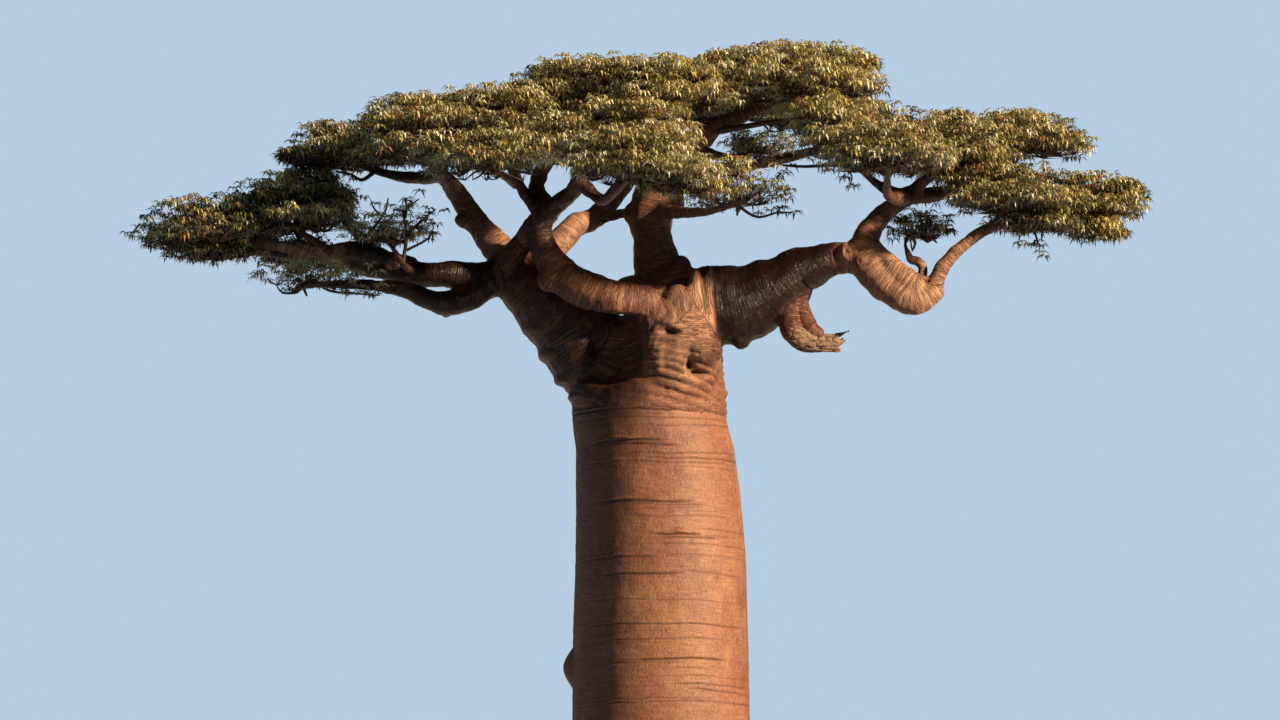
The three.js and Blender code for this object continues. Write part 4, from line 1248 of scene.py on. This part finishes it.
def grow_mass(mass, key, dice):
    """The clumps' middles and, for each rosette, its place, its clump and how much light is painted on it.
    """
    area = mass["reach"][0] * mass["reach"][1] * MM * MM
    fullness = FULLNESS.get(mass["name"], 1.0) ** 0.5
    count = max(FEWEST_CLUMPS, round(area * CLUMPS_PER_M2 * fullness))
    directions = fan(count, LOWEST_TWIG, 2 * math.pi * chance(key))
    directions = directions + dice.normal(0, CLUMP_JITTER, (count, 3))
    directions /= np.linalg.norm(directions, axis=1)[:, None]
    centre = np.array(mass["centre"]) * MM
    grown = dice.uniform(*CLUMP_SIZES, count)
    edge = reach_along(mass, directions)
    depth = np.linalg.norm(edge, axis=1)
    outward = edge / depth[:, None]
    half = grown / np.linalg.norm(outward / CLUMP_REACH, axis=1)
    out = np.maximum(dice.uniform(CLUMPS_FROM, TOP_SHARE, count) * depth - half, 0)
    middles = centre + outward * out[:, None]
    level = (middles[:, 2] - centre[2]) / TIER
    middles[:, 2] += TIER_PULL * TIER * (np.round(level) - level)
    places, owners, lights = [], [], []
    for number, middle in enumerate(middles):
        amount = round(ROSETTES_PER_CLUMP * grown[number] ** 2) + ROSETTES_MORE
        dome = fan(amount, LOWEST_ROSETTE, dice.uniform(0, WHOLE_TURN))
        shell = dice.uniform(*SHELL, (amount, 1))
        spots = middle + dome * CLUMP_REACH * grown[number] * shell
        spots += dice.normal(0, ROSETTE_JITTER, spots.shape)
        inside = share_of(mass, spots) < TOP_SHARE + EDGE_PLAY
        kept = inside & (dice.uniform(0, 1, amount) < fullness)
        kept &= ~in_gap(spots, dice)
        places.append(spots[kept])
        owners.append(np.full(kept.sum(), number))
        lights.append(TOP_LIGHT * dome[kept, 2] + OUTSIDE_LIGHT * (shell[kept, 0] - SHELL_MIDDLE))
    return middles, np.concatenate(places), np.concatenate(owners), np.concatenate(lights)


print("clumps to a square metre:", CLUMPS_PER_M2, "and rosettes to a clump:", ROSETTES_PER_CLUMP)

# %% [markdown]
# ## Leaflets and twigs as arrays
# Two hundred thousand leaflets are too many to place one by one, so their corners are worked out for
# all of them together and handed to Blender as one mesh for each side of the crown. A bmesh that is
# filled leaf by leaf would be much slower.

# %% Build leaflets
LEAFLET_LENGTH = (0.14, 0.24)
LEAFLET_WIDTH = (0.15, 0.23)
# The mean rise of a leaflet and its spread, and the spread of its turn
LEAFLET_RISE = (0.3, 0.25)
TURN_SPREAD = 0.2
LEAFLET_FALL = (0.7, 1.4)
RIB_SHARE = 0.45
FOLD_RISE = 0.012


def mesh_from(name, corners, faces):
    """A mesh of triangles from all its corners and faces at once."""
    mesh = bpy.data.meshes.new(name)
    mesh.vertices.add(len(corners))
    mesh.vertices.foreach_set("co", corners.ravel())
    mesh.loops.add(faces.size)
    mesh.loops.foreach_set("vertex_index", faces.ravel())
    mesh.polygons.add(len(faces))
    mesh.polygons.foreach_set("loop_start", np.arange(len(faces)) * 3)
    mesh.update(calc_edges=True)
    return mesh


def heading(turn, slope):
    """Directions of length 1, each turned from the x axis and sloping up."""
    return np.column_stack([np.cos(turn) * np.cos(slope), np.sin(turn) * np.cos(slope), np.sin(slope)])


def leaflet_mesh(name, places, tints, dice):
    """A hand of leaflets at each place, as one mesh with a colour number for each face."""
    count = len(places) * LEAFLETS
    root = np.repeat(places, LEAFLETS, axis=0)
    turn = np.repeat(dice.uniform(0, WHOLE_TURN, len(places)), LEAFLETS)
    spread = np.tile(np.arange(LEAFLETS) * 2 * math.pi / LEAFLETS, len(places))
    turn += spread + dice.normal(0, TURN_SPREAD, count)
    rise = dice.normal(*LEAFLET_RISE, count)
    fall = rise - dice.uniform(*LEAFLET_FALL, count)
    length = dice.uniform(*LEAFLET_LENGTH, count)[:, None]
    width = length * dice.uniform(*LEAFLET_WIDTH, (count, 1))
    first, second = (heading(turn, slope) for slope in (rise, fall))
    side = np.column_stack([-np.sin(turn), np.cos(turn), np.zeros(count)])
    rib = root + first * length * RIB_SHARE
    tip = rib + second * length * (1 - RIB_SHARE)
    edge = rib + (0, 0, FOLD_RISE)
    corners = np.stack([root, edge - side * width / 2, rib, edge + side * width / 2, tip], axis=1)
    pattern = np.array([[0, 1, 2], [0, 2, 3], [4, 2, 1], [4, 3, 2]])
    faces = (np.arange(count)[:, None, None] * 5 + pattern).reshape(-1, 3)
    mesh = mesh_from(name, corners.reshape(-1, 3), faces)
    mesh.polygons.foreach_set("material_index", np.repeat(tints, LEAFLETS * len(pattern)))
    return mesh


print("faces of a rosette:", LEAFLETS * 4)

# %% Build twigs and forked stems
MAIN_STEMS = 6
FORK_AT = 0.52
# The thickness of a stem at its start and its end, before and after the fork
MAIN_STEM, SIDE_STEM = (0.05, 0.034), (0.026, 0.011)
# How far chance moves an end's side, the fork, and the bends before and after it
SIDE_JITTER, FORK_JITTER, MAIN_BEND, SIDE_BEND = 0.25, 0.07, 0.05, 0.06
SAG = 0.04
MAIN_STEPS, SIDE_STEPS = 6, 5


def twig_mesh(name, starts, ends, thickness):
    """A pointed three-sided twig from each start to each end."""
    line = ends - starts
    line /= np.maximum(np.linalg.norm(line, axis=1), 1e-6)[:, None]
    side = np.cross(line, (0.3, 0.5, 0.81))
    side /= np.linalg.norm(side, axis=1)[:, None]
    other = np.cross(line, side)
    corners = [starts + thickness[:, None] * (side * math.cos(turn) + other * math.sin(turn))
               for turn in (0, 2 * math.pi / 3, 4 * math.pi / 3)]
    corners = np.stack([*corners, ends], axis=1).reshape(-1, 3)
    pattern = np.array([[0, 1, 3], [1, 2, 3], [2, 0, 3], [2, 1, 0]])
    faces = (np.arange(len(starts))[:, None, None] * 4 + pattern).reshape(-1, 3)
    return mesh_from(name, corners, faces)


def forked_stems(hub, ends, dice):
    """Stems from a hub to all ends: a few main ones, each forking to the ends on its side."""
    runs = []
    turns = np.arctan2(ends[:, 1] - hub[1], ends[:, 0] - hub[0]) + dice.normal(0, SIDE_JITTER, len(ends))
    sector = np.floor((turns + math.pi) / (2 * math.pi) * MAIN_STEMS).astype(int) % MAIN_STEMS
    for number in range(MAIN_STEMS):
        mine = ends[sector == number]
        if not len(mine):
            continue
        fork = hub + FORK_AT * (mine.mean(axis=0) - hub) + dice.normal(0, FORK_JITTER, 3)
        bend = 0.5 * (hub + fork) + dice.normal(0, MAIN_BEND, 3)
        line = path_at([hub, bend, fork], np.linspace(0, 1, MAIN_STEPS))
        runs.append((line, np.linspace(*MAIN_STEM, MAIN_STEPS)))
        for end in mine:
            bend = 0.5 * (fork + end) + dice.normal(0, SIDE_BEND, 3) - (0, 0, SAG)
            line = path_at([fork, bend, end], np.linspace(0, 1, SIDE_STEPS))
            runs.append((line, np.linspace(*SIDE_STEM, SIDE_STEPS)))
    return runs


print("main stems to a mass:", MAIN_STEMS)

# %% [markdown]
# ## The crown, side by side
# The masses are joined by sides of the crown, so that no mesh grows too heavy. On the tree they have
# grown into one another, so smaller masses bridge the gaps between neighbours, and thin fringes and
# low knolls break their edges. All of them are grown by the same rule.

# %% Group the masses
GROUPS = {
    "left_low": ["left_tip", "left_mid", "left_knee", "left_sprig", "left_under"],
    "left_top": ["left_high", "left_shoulder", "left_crest", "top_left"],
    "middle": ["front_left", "front_mid", "front_right", "top_mid", "mid_right"],
    "right_top": ["top_right", "right_inner", "right_mid", "right_front"],
    "right_low": ["right_high", "right_low", "right_tip", "right_pocket"],
    "back": ["back_far_left", "back_left", "back_right", "back_far_right"],
}
# How much shade is painted on a mass's leaves beyond the rest; below 0 they are painted lighter
PAINTED_MASS_SHADE = {
    "left_tip": 0.65, "left_mid": 0.1, "left_sprig": -0.6, "left_under": -0.2,
    "right_pocket": 1.0, "top_right": -0.5, "top_mid": -0.65, "top_left": -0.25, "right_low": 0.15,
}
# Painted shade on all the leaves, below 0 so that it lightens them
SHADE_OF_ALL = -0.3
# Neighbours whose crowns have grown into one another: the gap between them holds a smaller mass
BRIDGES = {
    "left_low": [("left_tip", "left_mid"), ("left_mid", "left_knee")],
    "left_top": [("left_high", "left_shoulder"), ("left_shoulder", "left_crest"),
                 ("left_crest", "top_left"), ("left_high", "back_far_left")],
    "middle": [("front_mid", "front_right"), ("top_left", "top_mid"),
               ("front_left", "left_crest"), ("top_left", "front_mid"), ("top_mid", "front_mid"),
               ("left_crest", "front_mid")],
    "right_top": [("top_mid", "top_right"), ("top_right", "right_inner"), ("right_inner", "right_mid"),
                  ("right_inner", "right_front"), ("right_front", "right_mid")],
    "right_low": [("right_mid", "right_high"), ("right_mid", "right_low"), ("right_low", "right_tip")],
    "back": [("back_far_left", "back_left"), ("back_left", "back_right"), ("back_right", "back_far_right"),
             ("top_left", "back_left"), ("top_right", "back_right"), ("top_right", "back_far_right")],
}
BRIDGE_SHARE, BRIDGE_RISE, BRIDGE_DROP = 0.62, 0.8, 0.7
# Thin fringes that hang under a mass, and low knolls on its shoulders
FRINGES = {
    "left_top": [
        ("left_high", (-6280, 500, 23060), (330, 500), 170, 160),
        ("left_crest", (-3050, 1300, 23550), (1050, 950), 300, 250),
        ("left_shoulder", (-4050, 700, 23300), (560, 700), 260, 200),
        ("top_left", (-2500, 2350, 23800), (650, 700), 260, 220),
        ("top_left", (-300, 3000, 24050), (1250, 1150), 320, 260),
    ],
    "middle": [
        ("top_mid", (1250, 1900, 24150), (950, 1050), 300, 250),
    ],
    "left_low": [
        ("left_tip", (-7700, -300, 21360), (1050, 800), 250, 270),
        ("left_mid", (-6250, 600, 21360), (850, 600), 450, 280),
        ("left_knee", (-6070, 600, 22740), (480, 450), 150, 180),
    ],
    "right_top": [
        ("top_right", (3300, 300, 24640), (430, 800), 190, 100),
        ("top_right", (1100, 200, 24600), (680, 900), 280, 250),
        ("right_mid", (5000, -500, 23560), (330, 500), 210, 150),
    ],
    "right_low": [
        ("right_low", (6350, -900, 21750), (980, 800), 260, 330),
        ("right_tip", (7450, -400, 21680), (520, 600), 300, 220),
        ("right_tip", (7900, -300, 22350), (320, 500), 240, 150),
    ],
}


def bridge_mass(first, second):
    """A smaller mass halfway between two neighbours."""
    ends = masses[first], masses[second]
    centre, reach, up, down = (np.mean([end[key] for end in ends], axis=0)
                               for key in ("centre", "reach", "up", "down"))
    reach = tuple(reach * BRIDGE_SHARE)
    return leaf_mass(first, tuple(centre), reach, up * BRIDGE_RISE, down * BRIDGE_DROP)


print("bridges:", sum(map(len, BRIDGES.values())), "fringes:", sum(map(len, FRINGES.values())))

# %% Grow the crown
# The clumps hang on stems that end a little under them
STEM_UNDER = 0.12
TWIG_THICKNESS = 0.009
# The moods, of painted light and shade and of chance, at which a rosette turns green, olive and gold, and
# how often it gets the painted highlight or is dry
MOODS = [-0.4, 0.05, 0.45]
HIGHLIGHT_SHARE, DRY_SHARE = 0.4, 0.05
# How far the moods of clumps and of rosettes swing by chance
CLUMP_SWING, ROSETTE_SWING = 0.25, 0.6
numbers = {name: number for number, name in enumerate(masses)}
stem_runs = []
for group, members in GROUPS.items():
    dice = np.random.default_rng(SEED + numbers[members[0]])
    places, tints, starts, ends, widths = [], [], [], [], []
    grown = [(member, masses[member]) for member in members]
    grown += [(first, bridge_mass(first, second)) for first, second in BRIDGES[group]]
    grown += [(row[0], leaf_mass(*row)) for row in FRINGES.get(group, [])]
    for member, mass in grown:
        clumps, spots, owners, lights = grow_mass(mass, numbers[member], dice)
        below = clumps - (0, 0, STEM_UNDER)
        stem_runs += forked_stems(hub_of(masses[member]), below, dice)
        starts.append(below[owners])
        ends.append(spots)
        widths.append(np.full(len(spots), TWIG_THICKNESS))
        mood = dice.uniform(-CLUMP_SWING, CLUMP_SWING, len(clumps))[owners] + lights
        mood += dice.normal(0, ROSETTE_SWING, len(spots)) - PAINTED_MASS_SHADE.get(member, 0) - SHADE_OF_ALL
        # Painted light and shade, with chance, pick the tint
        tint = np.array([SHADE_TINT, GREEN, OLIVE, GOLD])[np.digitize(mood, MOODS)]
        tint[(tint == GOLD) & (dice.uniform(0, 1, len(tint)) < HIGHLIGHT_SHARE)] = PAINTED_HIGHLIGHT
        tint[dice.uniform(0, 1, len(tint)) < DRY_SHARE] = DRY
        places.append(spots)
        tints.append(tint)
    nodes = ["foliage_" + member for member in members]
    mesh = leaflet_mesh("leaves_" + group, np.concatenate(places), np.concatenate(tints), dice)
    piece("leaves_" + group, mesh, leaf_tints, nodes)
    mesh = twig_mesh("twigs_" + group, *(np.concatenate(part) for part in (starts, ends, widths)))
    piece("twigs_" + group, mesh, twig_brown, nodes)

# %% [markdown]
# ## Loose sprigs
# A few sprigs and bare twigs hang clear of the masses, where the sky shows round them. Each is a bent
# twig with a count of rosettes on its outer half.

# %% Hang the loose sprigs
# points along each twig, its thickness, and its number of rosettes
SPRIGS = [
    ([(3.55, -0.95, 22.6), (3.1, -0.75, 22.78), (2.4, -0.6, 22.78), (1.84, -0.5, 22.84)], 0.045, 5),
    ([(3.1, -0.75, 22.76), (3.24, -0.75, 22.6), (3.2, -0.75, 22.42)], 0.022, 4),
    ([(0.62, -1.3, 22.1), (0.85, -1.5, 21.98), (1.05, -1.6, 21.86)], 0.022, 0),
    ([(0.8, -1.5, 22.0), (0.95, -1.6, 22.02), (1.12, -1.65, 21.98)], 0.016, 1),
    ([(1.25, -2.85, 21.85), (1.6, -2.7, 21.66), (1.95, -2.7, 21.74), (2.2, -2.8, 21.72)], 0.03, 6),
    ([(0.9, 0.3, 23.5), (1.6, 0.2, 23.6), (2.4, 0.1, 23.72)], 0.07, 0),
    ([(-5.1, -0.3, 21.55), (-4.85, -0.4, 21.85), (-4.72, -0.45, 22.05), (-4.68, -0.45, 22.26)], 0.035, 0),
    ([(-4.8, -0.42, 21.95), (-4.93, -0.4, 22.1), (-4.98, -0.38, 22.24)], 0.022, 0),
    ([(-4.42, -0.5, 21.15), (-4.36, -0.55, 21.6), (-4.4, -0.6, 22.0), (-4.15, -0.6, 22.22)], 0.045, 7),
    ([(-4.38, -0.55, 21.6), (-4.1, -0.6, 21.85), (-3.86, -0.6, 22.05)], 0.03, 6),
    ([(-4.36, -0.52, 21.35), (-4.0, -0.5, 21.55), (-3.9, -0.5, 21.75)], 0.026, 5),
    ([(-4.95, 0.4, 22.8), (-5.15, 0.3, 22.66), (-5.35, 0.2, 22.75), (-5.6, 0.2, 22.8)], 0.04, 4),
    ([(4.18, -0.82, 21.28), (4.15, -0.75, 21.45), (4.25, -0.3, 21.62), (4.45, 0.4, 21.74)], 0.04, 0),
    ([(-6.0, -0.9, 20.9), (-5.7, -0.95, 20.62), (-5.2, -1.0, 20.55), (-4.8, -1.0, 20.52)], 0.03, 9),
    ([(5.87, -1.3, 22.0), (6.02, -1.1, 21.7), (6.1, -1.0, 21.45)], 0.022, 7),
    ([(6.3, -0.3, 21.9), (6.4, -0.35, 21.6), (6.46, -0.4, 21.36)], 0.03, 6),
    ([(7.13, -0.2, 21.94), (7.9, -0.2, 22.2), (8.37, -0.2, 22.27)], 0.03, 8),
]
SPRIG_STEPS = 12
SPRIG_TIP = 0.35
dice = np.random.default_rng(SEED)
places = []
for stops, thickness, amount in SPRIGS:
    line = path_at(stops, np.linspace(0, 1, SPRIG_STEPS))
    stem_runs.append((line, np.linspace(thickness, SPRIG_TIP * thickness, SPRIG_STEPS)))
    if amount:
        shares = np.linspace(0.5, 1.02, amount) + dice.uniform(-0.03, 0.03, amount)
        places.append(path_at(stops, shares) + dice.normal(0, 0.07, (amount, 3)))
places = np.concatenate(places)
# The sprigs' tints go by chance, the painted shade tint among them
tints = dice.choice([GOLD, OLIVE, GREEN, SHADE_TINT], len(places), p=[0.2, 0.3, 0.3, 0.2])
sprig_mesh = leaflet_mesh("leaves_of_sprigs", places, tints, dice)
piece("leaves_of_sprigs", sprig_mesh, leaf_tints, ["foliage_left_sprig"])

# %% Join all the stems
STEM_SIDES = 4
stems = pipe_mesh("leaf_stems", stem_runs, STEM_SIDES)
piece("leaf_stems", stems, twig_brown, ["foliage_left_tip"])

# %% [markdown]
# ## Floor, light and camera
# The tree stands on a plain pale floor under a plain pale sky. One warm soft sun stands low on the
# right, and the sky fills the shade. The camera stands far off at eye height with a long lens, and
# looks up by six degrees, as the photograph seems to have been taken.

# %% Lay the floor
FLOOR_RADIUS = 600
shape = bmesh.new()
bmesh.ops.create_circle(shape, cap_ends=True, segments=96, radius=FLOOR_RADIUS)
floor = placed("floor", mesh_of(shape, "floor"))
floor.data.materials.append(plain("pale_floor", (0.78, 0.77, 0.75, 1), 0.9))
floor.visible_diffuse = False
print("floor faces:", len(floor.data.polygons))

# %% Raise the sky
SKY_FILL = 0.135
SKY_SEEN = 0.85
world = bpy.data.worlds.new("pale_sky")
world.use_nodes = True
sky = world.node_tree.nodes["Background"]
sky.inputs["Color"].default_value = (0.55, 0.72, 0.9, 1)
seen = world.node_tree.nodes.new("ShaderNodeLightPath")
amount = world.node_tree.nodes.new("ShaderNodeMapRange")
amount.inputs["To Min"].default_value = SKY_FILL
amount.inputs["To Max"].default_value = SKY_SEEN
world.node_tree.links.new(seen.outputs["Is Camera Ray"], amount.inputs["Value"])
world.node_tree.links.new(amount.outputs["Result"], sky.inputs["Strength"])
bpy.context.scene.world = world
print("sky in the shade:", SKY_FILL, "and as seen:", SKY_SEEN)

# %% Hang the sun
SUN_AZIMUTH, SUN_HEIGHT = 57, 18
SUN_POWER = 7.0
SUN_COLOUR = (1.0, 0.77, 0.54)
SUN_SOFTNESS = 3


def sun(name, azimuth, height, energy, colour, softness):
    """A sun that stands at an azimuth from the camera's side, towards the right, and a height."""
    lamp = bpy.data.lights.new(name, "SUN")
    lamp.energy = energy
    lamp.color = colour
    lamp.angle = math.radians(softness)
    holder = placed(name, lamp)
    turn, lift = math.radians(azimuth), math.radians(height)
    from_tree = Vector((math.sin(turn) * math.cos(lift), -math.cos(turn) * math.cos(lift), math.sin(lift)))
    holder.rotation_euler = from_tree.to_track_quat("Z", "Y").to_euler()
    return from_tree


from_tree = sun("warm_key", SUN_AZIMUTH, SUN_HEIGHT, SUN_POWER, SUN_COLOUR, SUN_SOFTNESS)
print("the sun stands towards", tuple(round(part, 2) for part in from_tree))

# %% Set up the camera
AIM = Vector((-0.374, 0.0, 19.52))
LENS, FILM_WIDTH = 281, 36
SEES_TO = 2000
camera_data = bpy.data.cameras.new("camera")
camera_data.lens = LENS
camera_data.sensor_width = FILM_WIDTH
camera_data.clip_end = SEES_TO
camera = placed("camera", camera_data)
ahead = Vector((0, math.cos(LOOK_UP), math.sin(LOOK_UP)))
camera.location = AIM - ahead * (CAMERA_AWAY / math.cos(LOOK_UP))
camera.rotation_euler = (math.radians(90) + LOOK_UP, 0, 0)
bpy.context.scene.camera = camera
bpy.context.scene.view_settings.view_transform = "Standard"
print("camera height:", round(camera.location.z, 2), "m")
